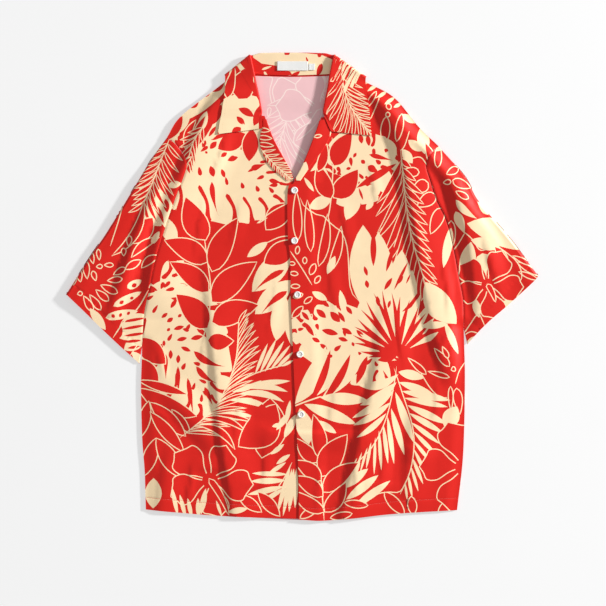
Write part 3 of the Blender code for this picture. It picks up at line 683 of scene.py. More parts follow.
# Folds: how far each reaches to the left and to the right of its crest, and the crest's places
# and heights
FOLDS = [
    # left, right, crest: x, y, height
    (20, 78, [(-128, 334, 2.6), (-141, 307, 6.0), (-184, 210, 7.4), (-216, 134, 7.4), (-237, 60, 6.8),
              (-247, 2, 6.0), (-250, -52, 0.0)]),
    (16, 22, [(-208, 206, 0.0), (-238, 154, 4.6), (-264, 98, 6.2), (-288, 30, 6.2), (-312, -42, 2.6)]),
    (16, 58, [(-158, 66, 0.0), (-148, -38, 3.2), (-137, -171, 5.4), (-132, -237, 5.6), (-115, -336, 4.4),
              (-110, -376, 3.2)]),
    (30, 40, [(-237, -158, 0.0), (-190, -205, 4.2), (-152, -250, 3.6), (-128, -286, 0.0)]),
    (20, 66, [(112, 334, 2.2), (124, 318, 5.0), (161, 241, 7.6), (182, 139, 7.6), (202, 15, 7.2),
              (231, -109, 5.6), (251, -166, 0.0)]),
    (19, 58, [(184, 258, 0.0), (222, 205, 5.0), (251, 159, 7.2), (278, 66, 7.2), (294, -50, 2.8)]),
    (19, 70, [(140, -16, 0.0), (133, -80, 3.6), (128, -132, 5.4), (99, -254, 6.8), (80, -336, 5.6),
              (71, -377, 4.0)]),
    (28, 34, [(-28, -240, 0.0), (-58, -247, 2.8), (-98, -236, 0.0)]),
    (12, 30, [(300, 96, 0.0), (312, 44, 2.8), (330, -10, 1.0)]),
    (18, 50, [(-60, 60, 0.0), (-74, -40, 1.6), (-92, -150, 0.0)]),
    (16, 46, [(190, -160, 0.0), (182, -250, 2.6), (176, -340, 1.8)]),
    (18, 36, [(-212, -250, 0.0), (-222, -310, 2.6), (-228, -366, 1.6)]),
]
# Creases that are too fine for the solid, in the same columns
CREASES = [
    # left, right, crest: x, y, height
    (34, 11, [(-66, -240, 0.0), (-26, -244, 2.2), (38, -245, 3.3), (84, -245, 2.9), (124, -237, 0.0)]),
    (26, 12, [(150, -260, 0.0), (188, -272, 1.6), (226, -268, 0.0)]),
    (24, 12, [(-112, -302, 0.0), (-160, -296, 2.1), (-202, -308, 0.0)]),
    (26, 12, [(96, -322, 0.0), (140, -330, 1.4), (182, -326, 0.0)]),
    (26, 12, [(-30, -326, 0.0), (-66, -330, 1.5), (-104, -322, 0.0)]),
    (7, 14, [(-118, 262, 0.0), (-132, 216, 1.3), (-150, 170, 0.0)]),
    (8, 18, [(-160, 150, 0.0), (-167, 95, 1.2), (-178, 40, 0.0)]),
    (9, 20, [(-96, 150, 0.0), (-106, 105, 1.0), (-120, 60, 0.0)]),
    (8, 18, [(-40, 20, 0.0), (-46, -35, 1.1), (-56, -90, 0.0)]),
    (9, 22, [(-150, -40, 0.0), (-158, -95, 1.2), (-170, -150, 0.0)]),
    (8, 16, [(-100, -170, 0.0), (-104, -220, 1.1), (-112, -270, 0.0)]),
    (8, 18, [(-58, -250, 0.0), (-60, -300, 1.3), (-66, -350, 0.0)]),
    (7, 12, [(-180, -290, 0.0), (-183, -327, 1.3), (-190, -365, 0.0)]),
    (10, 11, [(-240, -90, 0.0), (-231, -125, 1.2), (-226, -160, 0.0)]),
    (8, 9, [(-250, -200, 0.0), (-230, -211, 0.9), (-214, -222, 0.0)]),
    (9, 20, [(60, 150, 0.0), (74, 95, 1.0), (84, 40, 0.0)]),
    (8, 16, [(110, 210, 0.0), (121, 165, 1.2), (128, 120, 0.0)]),
    (9, 20, [(40, 60, 0.0), (51, 0, 1.0), (58, -60, 0.0)]),
    (7, 16, [(180, 120, 0.0), (192, 75, 1.2), (200, 30, 0.0)]),
    (7, 14, [(230, 60, 0.0), (239, 0, 1.4), (244, -60, 0.0)]),
    (8, 20, [(150, -30, 0.0), (162, -85, 1.2), (170, -140, 0.0)]),
    (9, 20, [(60, -150, 0.0), (52, -200, 1.1), (40, -250, 0.0)]),
    (9, 18, [(140, -230, 0.0), (136, -290, 1.4), (128, -350, 0.0)]),
    (7, 14, [(90, -280, 0.0), (89, -325, 1.2), (84, -370, 0.0)]),
    (8, 16, [(224, -150, 0.0), (221, -200, 1.2), (214, -250, 0.0)]),
    (7, 14, [(28, -290, 0.0), (28, -331, 1.0), (24, -372, 0.0)]),
    (9, 10, [(250, -60, 0.0), (238, -85, 1.3), (222, -110, 0.0)]),
]


def fold_height(x, y, fold):
    """Height that one fold adds: a soft ridge along its crest, steeper on one side."""
    left, right, crest = fold
    best, rise = np.full(np.shape(x), 1e9), np.zeros(np.shape(x))
    for (x1, y1, h1), (x2, y2, h2) in zip(crest, crest[1:]):
        ux, uy = x2 - x1, y2 - y1
        t = np.clip(((x - x1) * ux + (y - y1) * uy) / (ux * ux + uy * uy), 0, 1)
        dx, dy = x - x1 - t * ux, y - y1 - t * uy
        far = np.hypot(dx, dy)
        width = np.where(dx * uy - dy * ux > 0, left, right)
        up = (h1 + (h2 - h1) * t) * np.clip(1 - (far / width) ** 2, 0, 1) ** 2
        rise = np.where(far < best, up, rise)
        best = np.minimum(best, far)
    return rise


CRESTS = [(left, right, through(crest, 5 * len(crest))) for left, right, crest in FOLDS + CREASES]
ROLL_LINE = {side: through(ROLL[side], 20) for side in ROLL}
CLOSED_EDGES = [
    edge
    for side in SIDE
    for edge in (through(SIDE[side], 12), SHOULDER_LINE[side], through(SLEEVE_TOP[side], 12),
                 np.array([SIDE[side][-1], CUFF[side][0]], float))
]


def lie(x, y):
    """Height of the outer face of the upper layer, from the fronts to the sleeves."""
    inside = smooth(np.min([distance(x, y, edge) for edge in CLOSED_EDGES], axis=0) / EDGE_RAMP)
    rise = AIR * inside
    for fold in CRESTS:
        rise = rise + inside * fold_height(x, y, fold)
    near = np.minimum(distance(x, y, ROLL_LINE["right"]), distance(x, y, ROLL_LINE["left"]))
    rise = rise + ROLL_RISE * smooth((y - ROLL_FROM) / ROLL_GROWS) * np.exp(-(near / ROLL_REACH) ** 2)
    for side in ARM_LINE:
        rise = rise - SEAM_DIP * inside * np.exp(-(distance(x, y, ARM_LINE[side]) / SEAM_REACH) ** 2)
    low = lift(x, y)
    for dx, dy in ((ROOM, 0), (-ROOM, 0), (0, ROOM), (0, -ROOM)):
        low = np.maximum(low, lift(x + dx, y + dy))
    return low + REST + rise


front_line = through(FRONT_EDGE, 60)
front_order = np.argsort(front_line[:, 1])
FRONT_X = front_line[front_order, 1], front_line[front_order, 0]


def overlap_step(x, y):
    """How much higher the left front lies where the right one is under it."""
    under = np.interp(y, *FRONT_X) + OVERLAP
    across = smooth((under + STEP_PAST - x) / STEP_RAMP)
    return (CLOTH + GAP + 0.1) * across * smooth((STEP_TOP - y) / STEP_FADE)


def hem_dip(far):
    """How far the cloth is drawn in at a distance from the stitching of a hem."""
    return HEM_DIP * np.exp(-(far / HEM_REACH) ** 2)


def beside(line, *offsets):
    """Places beside a line, at each offset to its left."""
    return [line + leftward(line) * offset for offset in offsets]


def front_outline(side):
    """Outline of a front: side seam, armhole, shoulder, neck seam, rolled edge, front edge, hem."""
    edge = FRONT_EDGE
    if side == "right":
        edge = [(x + OVERLAP, y) for x, y in FRONT_EDGE[:-2]] + [(4, OVERLAP_TOP), (-13, 171)]
    return joined(through(SIDE[side], 60), ARM_LINE[side], SHOULDER_LINE[side],
                  through(NECK_SEAM[side], 24)[::-1], ROLL_LINE[side][::-1], through(edge, 80)[::-1],
                  through(HEM[side], 60)[::-1])


def front(side, motifs):
    """One front, draped and hemmed."""
    outline = front_outline(side)
    hem = through(HEM[side], 110)
    rows = beside(through(ARMHOLE[side], 160), *SEAM_ROWS)
    rows += [hem + [0, HEM_DEPTH + up] for up in HEM_ROWS]
    places, corners, ink = cut(outline, motifs, FRONT_PITCH, rows)

    def top(x, y):
        step = overlap_step(x, y) if side == "left" else 0.0
        ends = hem[np.argsort(hem[:, 0])]
        above = y - np.interp(x, ends[:, 0], ends[:, 1]) - HEM_DEPTH
        return lie(x, y) + step - hem_dip(above)

    x, y = places.T
    upper = np.column_stack([places, top(x, y)])
    piece = shell(f"front_{side}_cloth", corners, ink, upper, upper - [0, 0, CLOTH],
                  upward(top, x, y), FINISHES)
    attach(piece, "root")
    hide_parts(f"front_{side}")
    return piece


front_print = {}
low_rib = [(-201, -250), (-150, -207), (-125, -168), (-108, -118), (-104, -59)]
side_rib = [(162, 225), (167, 182), (172, 132), (182, 76), (202, 7)]
front_print["right"] = (
    # chest
    monstera((-217, 231), (-9, 146), 185, slits=9, depth=0.6, gap=5.8, lean=0.15, sweep=0.08, seed=12)
    + in_cream((-168, 248, -141, 311, 23), (-148, 241, -125, 307, 21), (-184, 212, -168, 271, 20))
    + in_red((-146, 266, -132, 299, 13), (-153, 246, -141, 263, 6), (-174, 231, -171, 241, 7),
             (-163, 228, -158, 240, 7), (-151, 226, -140, 238, 9), (-133, 213, -123, 220, 7),
             (-122, 207, -105, 213, 8), (-184, 212, -191, 222, 5), (-158, 218, -156, 222, 5))
    + in_red((-138, 226, -92, 251, 30))
    + in_lines((-82, 261, -87, 205, 28))
    + in_red((-56, 203, -84, 193, 10), (-28, 169, -54, 175, 8), (-137, 116, -148, 172, 9, 0.05),
             belly=0.75)
    + in_red((-150, 198, -145, 180, 10), (-132, 193, -127, 179, 7))
    # shoulder
    + in_red((-132, 321, -214, 198, 40), (-198, 228, -184, 274, 20))
    + in_cream((-108, 350, -207, 268, 28), (-170, 251, -156, 288, 15), (-204, 251, -184, 281, 10))
    + in_red((-184, 294, -170, 304, 10), (-148, 321, -128, 335, 13), (-161, 312, -151, 321, 7))
    + in_lines((-222, 240, -196, 281, 20), (-191, 225, -174, 274, 12, 0.1), (-181, 241, -158, 281, 10))
    + frond([(-158, 268), (-178, 238), (-189, 198)], 33, 0.6, 7, spread=38, plain=True, seed=63)
    + in_lines((-204, 192, -181, 213, 7), (-224, 185, -191, 200, 8), (-221, 165, -191, 189, 7))
    # behind the sprig
    + in_cream((-229, 116, -207, 66, 25), (-250, -1, -188, 2, 10), (-252, -6, -224, 10, 7),
               (-250, -11, -214, -6, 7), (-250, -16, -229, -26, 5))
    + monstera((-240, 7), (-145, -221), 155, slits=8, depth=0.58, gap=6.0, lean=0.12, seed=13)
    + in_cream((-207, -6, -158, -16, 23), (-158, -72, -122, -128, 20), (-163, -108, -132, -161, 20))
    + in_red((-125, -132, -178, -107, 12, 0.1), (-138, -160, -174, -132, 10, 0.1),
             (-146, -198, -160, -166, 8), (-178, -214, -188, -151, 8), (-203, -181, -204, -132, 7),
             (-224, -155, -224, -112, 7), (-244, -148, -242, -115, 7), belly=0.7)
    + in_red((-231, -52, -221, -44, 6), (-222, -59, -212, -52, 7), (-211, -71, -194, -66, 7),
             (-216, -36, -206, -21, 7), (-206, -89, -189, -85, 7), (-183, -87, -163, -82, 8),
             (-199, -100, -183, -107, 7), (-216, -120, -216, -105, 7), (-204, -127, -203, -113, 7),
             (-222, -74, -217, -69, 5), (-204, -51, -198, -46, 5), (-227, -99, -227, -89, 5),
             (-191, -74, -184, -62, 6))
    # between the sprig and the placket
    + in_cream((-90, 48, -56, 73, 15), (-82, -9, -16, 60, 41), (-77, -46, -16, 10, 36),
               (-42, -90, -29, -13, 31), (-16, -99, -19, -16, 23))
    + in_red((-82, -13, -29, 27, 10, 0.06), (-69, -49, -24, -8, 11, 0.06), belly=0.75)
    + in_lines((-13, 76, -62, 37, 36, 0.05), (-16, 136, -59, 93, 35, -0.05))
    + stroke([(-19, 139), (-49, 123), (-74, 103), (-56, 113)])
    + stroke([(-59, 71), (-36, 81), (-16, 83)])
    + sprig([(-161, 83), (-155, 40), (-150, -6), (-155, -59), (-170, -105)],
            [((-158, 76), (-191, 147), 41), ((-155, 40), (-226, 76), 36),
             ((-148, 24), (-105, 113), 38), ((-153, -9), (-217, 40), 33),
             ((-148, -26), (-74, 40), 43), ((-155, -69), (-207, -13), 41),
             ((-148, -59), (-71, -31), 40), ((-155, -89), (-112, -90), 28)], veined=False)
    # left of the lower front
    + in_lines((-273, -85, -224, -128, 36), (-273, -118, -237, -166, 33), (-270, -155, -189, -178, 15),
               (-270, -168, -173, -214, 30, -0.05), (-214, -203, -184, -242, 15))
    + in_lines((-252, -189, -267, -250, 20), (-250, -191, -191, -247, 25), (-250, -207, -194, -273, 21),
               (-240, -250, -260, -313, 23), (-240, -250, -198, -316, 28))
    # lower front
    + frond(low_rib, 63, 0.62, 25, spread=42, sides=(-1,), ends=(0.9, 0.5), plain=True, seed=15)
    + in_cream((-77, -145, -56, -94, 6), (-69, -143, -42, -87, 7), (-61, -141, -29, -90, 7),
               (-52, -138, -19, -97, 6), (-42, -135, -14, -108, 6), (-33, -132, -14, -122, 5),
               (-115, -174, -66, -155, 8, -0.05), (-102, -168, -23, -174, 11, 0.08),
               (-105, -178, -29, -191, 11, 0.1), (-118, -188, -49, -204, 10, 0.08),
               (-82, -161, -19, -156, 9), (-141, -211, -75, -217, 8, 0.06))
    + stroke([(-122, -168), (-75, -143), (-19, -127)])
    + in_lines((-163, -217, -92, -240, 10, 0.12), (-171, -229, -110, -269, 12, 0.16),
               (-148, -211, -79, -224, 7, 0.05))
    + stroke(low_rib)
    + in_lines((-52, -184, -66, -283, 59, 0.05), (-42, -194, -104, -264, 56, 0.12))
    + in_red((-66, -194, -66, -254, 40))
    + in_cream((-42, -237, -19, -207, 10), (-29, -250, -9, -211, 13), (-51, -277, -29, -260, 8),
               (-42, -293, -19, -277, 8), (-33, -227, -49, -231, 7), (-19, -188, -26, -227, 8))
    + in_cream((-23, -310, -82, -308, 8), (-26, -320, -84, -321, 10), (-29, -330, -89, -343, 10),
               (-29, -333, -66, -356, 8), (-19, -297, -41, -376, 8), (-16, -300, -31, -379, 8),
               (-13, -300, -21, -372, 9), (-9, -300, -11, -366, 8), (-26, -290, -56, -310, 7))
    + stroke([(-16, -290), (-29, -316), (-52, -349), (-66, -363)])
    + in_lines((-72, -339, -36, -379, 20), (-105, -343, -66, -372, 18))
    + hibiscus((-151, -320), 66, 62, pistil=(-120, -377))
    + in_cream((-244, -316, -245, -366, 28), (-214, -330, -204, -379, 7), (-201, -343, -191, -382, 7),
               (-188, -349, -181, -382, 7), (-171, -349, -170, -382, 8), (-158, -333, -166, -376, 10),
               (-122, -372, -89, -366, 10), (-141, -353, -132, -379, 5))
)
front_print["left"] = (
    # shoulder: a comb along the seam, and a leaf drawn in lines over the armhole
    in_cream((116, 344, 99, 332, 7), (127, 334, 108, 321, 6), (141, 322, 123, 309, 6),
             (154, 312, 136, 299, 6), (165, 302, 151, 294, 6), (164, 283, 189, 269, 12))
    + in_lines((111, 274, 127, 312, 12, 0.1), (106, 294, 123, 321, 8), (142, 278, 141, 286, 7),
               (136, 235, 139, 279, 15), (156, 238, 165, 284, 12), plump=0.6)
    + in_lines((139, 294, 147, 297, 10), plump=0.5)
    + in_cream((198, 264, 202, 217, 21), (175, 240, 198, 222, 15), (136, 245, 152, 208, 23),
               (165, 225, 182, 202, 15))
    + stroke([(177, 255), (169, 231), (162, 222)])
    + stroke([(175, 208), (195, 212), (208, 197), (220, 192)])
    + in_lines((203, 236, 222, 192, 15), (165, 189, 193, 187, 15), (182, 157, 208, 170, 21),
               (190, 131, 220, 151, 21), (212, 86, 231, 129, 20), belly=0.62, plump=0.5)
    + stroke([(223, 189), (233, 152), (240, 119)])
    + in_lines((218, 160, 220, 170, 7))
    # chest
    + monstera((60, 179), (156, 228), 119, slits=5, depth=0.6, gap=6.0, seed=22)
    + in_cream((73, 109, 94, 160, 25), (106, 126, 118, 142, 10), (99, 142, 132, 169, 23),
               (57, 136, 83, 149, 23))
    + in_cream((14, 189, 40, 235, 13, -0.15), (33, 205, 48, 142, 12), (12, 129, 50, 146, 21),
               (4, 179, 20, 156, 7))
    + in_red((151, 207, 111, 217, 8), (129, 185, 109, 198, 12), belly=0.7)
    + in_red((85, 212, 90, 220, 5), (98, 208, 104, 202, 7), (73, 193, 81, 195, 5),
             (104, 179, 109, 180, 5), (90, 169, 96, 172, 4), (94, 162, 101, 142, 4),
             (96, 251, 99, 235, 8), (108, 250, 111, 231, 8))
    + sprig([(50, 245), (52, 208), (48, 142), (42, 106)],
            [((53, 198), (83, 255), 33), ((52, 146), (93, 193), 35),
             ((48, 144), (27, 202), 28), ((27, 189), (40, 238), 16)], veined=False)
    + in_red((90, 162, 156, 202, 12))
    # frond drawn in lines
    + frond(side_rib, 96, 0.7, 13, spread=38, sides=(-1,), ends=(0.9, 0.4), plain=True, seed=24)
    + frond(side_rib, 50, 0.62, 14, spread=46, sides=(1,), ends=(0.35, 0.8), plain=True, seed=25)
    # beside the placket: a leaf drawn in lines
    + in_lines((-9, 156, -6, 76, 15), (9, 142, 15, 57, 15), (42, 119, 28, 33, 15, 0.05),
               (65, 99, 45, 24, 15, 0.05), belly=0.6, plump=0.55)
    + stroke([(-3, 146), (4, 132), (22, 119), (33, 118), (52, 99), (63, 94), (75, 63), (80, -3),
              (93, -23)])
    + stroke([(-19, 58), (0, 30), (17, 2)])
    + in_cream((55, 50, 42, 20, 12))
    + in_lines((-8, 53, -6, 66, 7), (5, 37, 5, 48, 7), (14, 19, 22, 37, 10), (22, 5, 30, 17, 8),
               (-21, 38, -11, 37, 6), (-19, 22, -6, 20, 7), (-18, 0, -3, 0, 7), (-14, -18, 2, -13, 8),
               (4, -28, 17, -18, 8), (-16, -52, 2, -33, 10), (0, -71, 17, -46, 10), plump=0.6)
    # the two large leaves and the burst between them
    + in_cream((106, -42, 101, 101, 50), (136, -52, 126, 90, 43), (156, -66, 165, 60, 43),
               (169, -75, 182, 27, 28), (136, -105, 119, 4, 76))
    + in_red((118, 90, 118, 33, 10), (152, 66, 139, 24, 7), (175, 40, 152, -6, 5),
             (103, 33, 108, 17, 6), (106, 10, 109, -3, 7), (136, -6, 149, 14, 7), (167, 17, 159, 4, 5),
             (179, 20, 172, 4, 3), (192, -9, 165, -42, 7, 0.1), (202, -42, 175, -66, 7, 0.1),
             (124, -16, 127, -33, 7), (146, -23, 142, -36, 5))
    + monstera((136, -115), (-23, -59), 119, slits=6, depth=0.5, gap=6.0, seed=27)
    + in_cream((42, -23, 17, -9, 12), (83, -72, 40, -23, 13), (73, -52, 63, -6, 12),
               (-13, -79, 47, -105, 26))
    + in_red((24, -38, 40, -52, 10), (47, -42, 63, -59, 12), (33, -72, 60, -79, 10),
             (17, -85, 30, -92, 7), (4, -59, 20, -82, 8), (66, -69, 83, -79, 8), (83, -92, 86, -99, 5),
             (93, -108, 99, -115, 5), (73, -33, 83, -46, 7), (0, -42, 12, -56, 7),
             (33, -24, 45, -34, 7), (60, -85, 76, -90, 7), (30, -95, 42, -104, 7),
             (60, -42, 71, -59, 7), (90, -72, 103, -85, 7))
    + in_cream((40, -99, -11, -194, 30, 0.06), (70, -105, 17, -183, 23, 0.05),
               (103, -108, 33, -184, 21, 0.05), (99, -102, 146, -155, 15, 0.14))
    + in_red((12, -194, 47, -105, 12, -0.05), (33, -191, 80, -112, 13, -0.05),
             (90, -161, 108, -115, 12))
    + in_cream((159, -108, 195, -16, 18), (162, -112, 215, -23, 15), (165, -112, 218, -52, 13),
               (172, -112, 225, -75, 12), (159, -118, 96, -79, 13), (156, -122, 93, -102, 13))
    + fan((159, -112), [(88, 96), (96, 102), (104, 109), (112, 109), (121, 102), (130, 96),
                        (139, 89), (148, 86), (157, 82), (166, 76), (176, 63), (186, 50),
                        (78, 92), (67, 86), (56, 82), (45, 76), (34, 73), (22, 69), (10, 59),
                        (-4, 43)], 8, ink=0, belly=0.42)
    + fan((159, -112), [(92, 21), (120, 25), (145, 30), (170, 33), (60, 21), (30, 23),
                        (196, 36), (-8, 23)], 13, ink=0)
    # right of them
    + in_cream((203, 7, 255, -62, 43, -0.06), (235, -59, 258, -112, 12), (195, -66, 241, -62, 12),
               (248, 103, 233, 30, 15))
    + in_lines((218, -102, 243, -132, 12), (208, -140, 243, -150, 8), (231, -99, 241, -118, 8),
               (246, -206, 245, -165, 8), (261, -211, 255, -168, 15), (246, -138, 253, -135, 8),
               (175, -118, 205, -145, 10), belly=0.62, plump=0.6)
    + stroke([(195, -141), (212, -168), (228, -183), (240, -183)])
    + stroke([(253, -161), (259, -141), (269, -125)])
    + in_cream((236, -234, 256, -198, 28))
    # beside the placket, lower
    + stroke([(-16, -199), (4, -191), (33, -181)], LINE * 1.4)
    + in_cream((30, -183, 109, -188, 20), (4, -194, 90, -227, 20), (-3, -201, 12, -260, 28),
               (24, -221, 57, -242, 12), (-23, -141, -16, -191, 12))
    # the two fronds
    + in_cream((159, -145, 90, -161, 15, 0.14), (156, -158, 96, -196, 15, 0.06),
               (152, -171, 83, -217, 13, 0.05), (146, -191, 85, -229, 12, 0.05),
               (139, -209, 90, -249, 10, 0.05), (147, -201, 169, -278, 11), (141, -214, 152, -293, 8),
               (134, -227, 142, -292, 7), (127, -237, 131, -303, 6), (121, -249, 119, -310, 5),
               (114, -257, 106, -300, 5), (108, -265, 96, -306, 4), (99, -273, 86, -313, 4),
               (91, -282, 76, -316, 4))
    + in_cream((159, -141, 202, -151, 16), (160, -158, 217, -178, 13), (165, -173, 245, -188, 13),
               (169, -184, 241, -199, 10), (174, -196, 240, -227, 12), (177, -209, 233, -242, 10),
               (180, -224, 228, -260, 8), (184, -239, 222, -278, 7), (184, -254, 213, -290, 6),
               (184, -267, 208, -316, 6), (182, -282, 200, -326, 6), (180, -297, 192, -338, 5),
               (175, -310, 182, -348, 5), (170, -323, 174, -353, 4), (154, -174, 184, -257, 13))
    + stroke([(156, -132), (152, -161), (139, -217), (116, -264), (80, -300)])
    + stroke([(152, -135), (165, -174), (180, -221), (185, -257), (179, -303), (162, -343)])
    + in_cream((73, -351, 126, -311, 15), (66, -333, 109, -300, 15), (86, -363, 146, -320, 13),
               (76, -320, 96, -290, 10))
    # bottom
    + stroke([(96, -363), (123, -343), (142, -339), (162, -338), (174, -316)])
    + in_lines((136, -339, 169, -376, 18), (184, -376, 180, -346, 15), (70, -356, 109, -361, 13),
               (225, -376, 248, -353, 16), (-3, -382, 27, -363, 13), (47, -382, 83, -374, 12),
               plump=0.65)
    + sprig([(37, -386), (33, -333), (30, -303), (20, -254)],
            [((27, -290), (-9, -250), 23), ((30, -283), (19, -211), 25),
             ((33, -313), (75, -244), 40), ((32, -320), (-13, -287), 25),
             ((35, -339), (93, -290), 30), ((35, -346), (-14, -313), 25),
             ((37, -372), (-16, -336), 23), ((38, -372), (73, -323), 25)], veined=False)
    + hibiscus((266, -298), 69, 176)
)
front_right = front("right", front_print["right"])
front_left = front("left", front_print["left"])


# Sleeves ----------------------------------------------------------------------------------------
# Short wide sleeves, one piece each round the arm with a seam under it, set into the armhole and
# hemmed at the cuff. They lie flattened, rounded along the fold at the top.

FOLD_RADIUS = 4.2
SEAM_RADIUS = REST / 2       # where the sleeve's two layers lie straight on each other
FOLD_SOFT = 42.0             # distance over which the cloth settles beside that fold
FOLD_GROWS = 100.0           # distance from the shoulder over which the fold opens
SEAM_OPEN = 0.36             # between the armhole's two edges
THIN_WALL = CLOTH * 0.9      # so that layers that lie on each other don't touch
FOLD_ROWS = (0.12, 0.5, 1.2, 2.2, 3.3, 4.4, 6.0)        # places along the fold, for its roundness
UNDER_ROWS = (0.1, 0.45, 1.0, 1.6, 3.0)                 # and along the underarm seam


def rounding(inward, radius):
    """How far a rounded edge falls from its layer, at a distance inward from the edge."""
    from_middle = radius - np.minimum(inward, radius)
    return radius - np.sqrt(np.maximum(radius ** 2 - from_middle ** 2, 0))


def sleeve(side, motifs, under_motifs):
    """A sleeve's two layers, joined along the fold and the underarm seam."""
    arm = through(ARMHOLE[side], 80)[::-1]
    outwards = -1 if side == "right" else 1
    arm = beside(arm, outwards * SEAM_OPEN)[0]
    fold = through(SLEEVE_TOP[side], 110)
    cuff = through(CUFF[side], 60)
    seam = through([SIDE[side][-1], CUFF[side][0]], 12)
    arm[0], arm[-1] = fold[0], seam[0]
    outline = joined(arm, seam, cuff, fold[::-1])
    into = 1 if area_of(outline) > 0 else -1
    fine = through(SLEEVE_TOP[side], 300)[1:-1]
    rows = beside(fine, *[-into * inward for inward in FOLD_ROWS])
    rows += beside(through([SIDE[side][-1], CUFF[side][0]], 40)[1:-1],
                   *[into * inward for inward in UNDER_ROWS])
    rows += beside(through(ARMHOLE[side], 160), *SEAM_ROWS)
    rows += beside(through(CUFF[side], 140), *[-into * (HEM_DEPTH + up) for up in HEM_ROWS])
    cuff_line = through(CUFF[side], 40)

    def radius(x, y):
        from_end = np.hypot(x - fold[0, 0], y - fold[0, 1])
        return SEAM_RADIUS + (FOLD_RADIUS - SEAM_RADIUS) * smooth(from_end / FOLD_GROWS)

    def top(x, y):
        inward, bend = distance(x, y, fold), radius(x, y)
        puff = 2 * (bend - SEAM_RADIUS) * np.exp(-np.maximum(inward - bend, 0) / FOLD_SOFT)
        stitched = hem_dip(distance(x, y, cuff_line) - HEM_DEPTH)
        return (lie(x, y) + puff - stitched - rounding(inward, bend)
                - rounding(distance(x, y, seam), SEAM_RADIUS))

    def bottom(x, y):
        return (lift(x, y) + rounding(distance(x, y, fold), radius(x, y))
                + rounding(distance(x, y, seam), SEAM_RADIUS))

    layers = []
    for height, shown, up in ((top, motifs, 1), (bottom, under_motifs, -1)):
        places, corners, ink = cut(outline, shown, FRONT_PITCH, rows)
        x, y = places.T
        layers.append([np.column_stack([places, height(x, y)]), corners, ink,
                       upward(height, x, y, 0.05) * up])
    (upper, corners, ink, normals), (lower, under, under_ink, under_normals) = layers
    # the two layers share the places on the fold and the underarm seam, where they face sideways
    edge = np.minimum(distance(*upper[:, :2].T, fold), distance(*upper[:, :2].T, seam)) < SAME
    shared = {tuple(np.round(place[:2], 2)): n for n, place in enumerate(upper) if edge[n]}
    turned = np.arange(len(lower)) + len(upper)
    for n, place in enumerate(lower):
        if tuple(np.round(place[:2], 2)) in shared:
            turned[n] = shared[tuple(np.round(place[:2], 2))]
    for n in shared.values():
        normals[n, 2] = 0
        normals[n] /= np.linalg.norm(normals[n]) + 1e-9
    outer = np.vstack([upper, lower])
    outward = np.vstack([normals, under_normals])
    kept, faces = np.unique(np.vstack([corners, turned[under]]), return_inverse=True)
    faces = faces.reshape(-1, 3)
    outer, outward = outer[kept], outward[kept]
    piece = shell(f"sleeve_{side}_cloth", faces, np.concatenate([ink, under_ink]), outer,
                  outer - outward * THIN_WALL, outward, FINISHES)
    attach(piece, "root")
    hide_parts(f"sleeve_{side}")


sleeve_print = {}
arm_rib = [(-217, 245), (-234, 202), (-249, 162), (-262, 132)]
sleeve_print["right"] = (
    # by the armhole
    in_cream((-257, 132, -231, 99, 28), (-237, 162, -212, 86, 30), (-267, 169, -254, 149, 12),
             (-221, 165, -198, 169, 12))
    + in_red((-224, 144, -221, 121, 10), (-249, 139, -227, 103, 8, 0.08), (-244, 156, -234, 165, 8))
    + frond(arm_rib, 40, 0.56, 10, spread=50, plain=True, sides=(-1,), ends=(0.8, 0.7), seed=11)
    + frond(arm_rib, 53, 0.5, 9, spread=62, plain=True, sides=(1,), ends=(0.7, 0.8), seed=12)
    # the long leaf and the drops round a place near the fold
    + in_lines((-277, 70, -245, 113, 30), (-260, 139, -313, 50, 15, 0.14))
    + stroke([(-295, 132), (-302, 106), (-315, 66)])
    + in_lines((-285, 66, -283, 83, 9), (-293, 50, -293, 63, 8), (-333, 43, -335, 61, 7),
               (-343, 37, -348, 57, 8), (-338, 32, -328, 33, 7), (-325, 35, -310, 35, 7),
               (-353, 12, -356, 42, 11), (-364, 7, -368, 28, 10), (-339, 9, -344, 25, 8),
               (-376, 2, -374, 17, 8), (-310, 19, -290, 30, 10), (-320, 9, -295, 12, 10),
               (-331, 2, -303, -11, 12), (-339, -6, -318, -24, 11), (-349, -14, -331, -39, 11),
               (-359, -16, -344, -41, 11), (-369, -13, -361, -11, 7), belly=0.6, plump=0.6)
    # by the underarm
    + in_lines((-290, 28, -265, 43, 12), (-264, 30, -234, 50, 13, 0.1), (-280, 47, -234, 80, 13, 0.1))
    + in_cream((-287, -3, -264, 10, 13), (-310, -33, -264, -9, 13), (-323, -52, -270, -41, 15),
               (-247, 70, -234, 90, 10), (-252, -3, -221, 24, 7), (-250, -6, -221, 4, 7),
               (-250, -9, -214, -9, 7), (-250, -13, -231, -29, 6), belly=0.42, plump=0.6)
    + in_red((-280, -1, -272, 4, 7), (-300, -29, -293, -24, 6), (-283, -21, -277, -18, 5),
             (-313, -51, -308, -47, 7), (-300, -51, -297, -44, 5), (-288, -47, -283, -42, 5))
    + in_cream((-303, -85, -250, -49, 43), (-293, -105, -257, -82, 23), (-349, -36, -323, -72, 15),
               (-280, -108, -260, -128, 13))
    + in_red((-297, -59, -257, -52, 5), (-297, -71, -257, -64, 5), (-293, -82, -257, -77, 5),
             (-293, -92, -264, -89, 5), (-287, -102, -267, -99, 5))
    + in_red((-306, -89, -297, -66, 12))
    + stroke([(-311, -85), (-293, -59), (-270, -36), (-252, -6)], LINE * 1.2)
    + stroke([(-283, -115), (-267, -92), (-250, -79)])
)
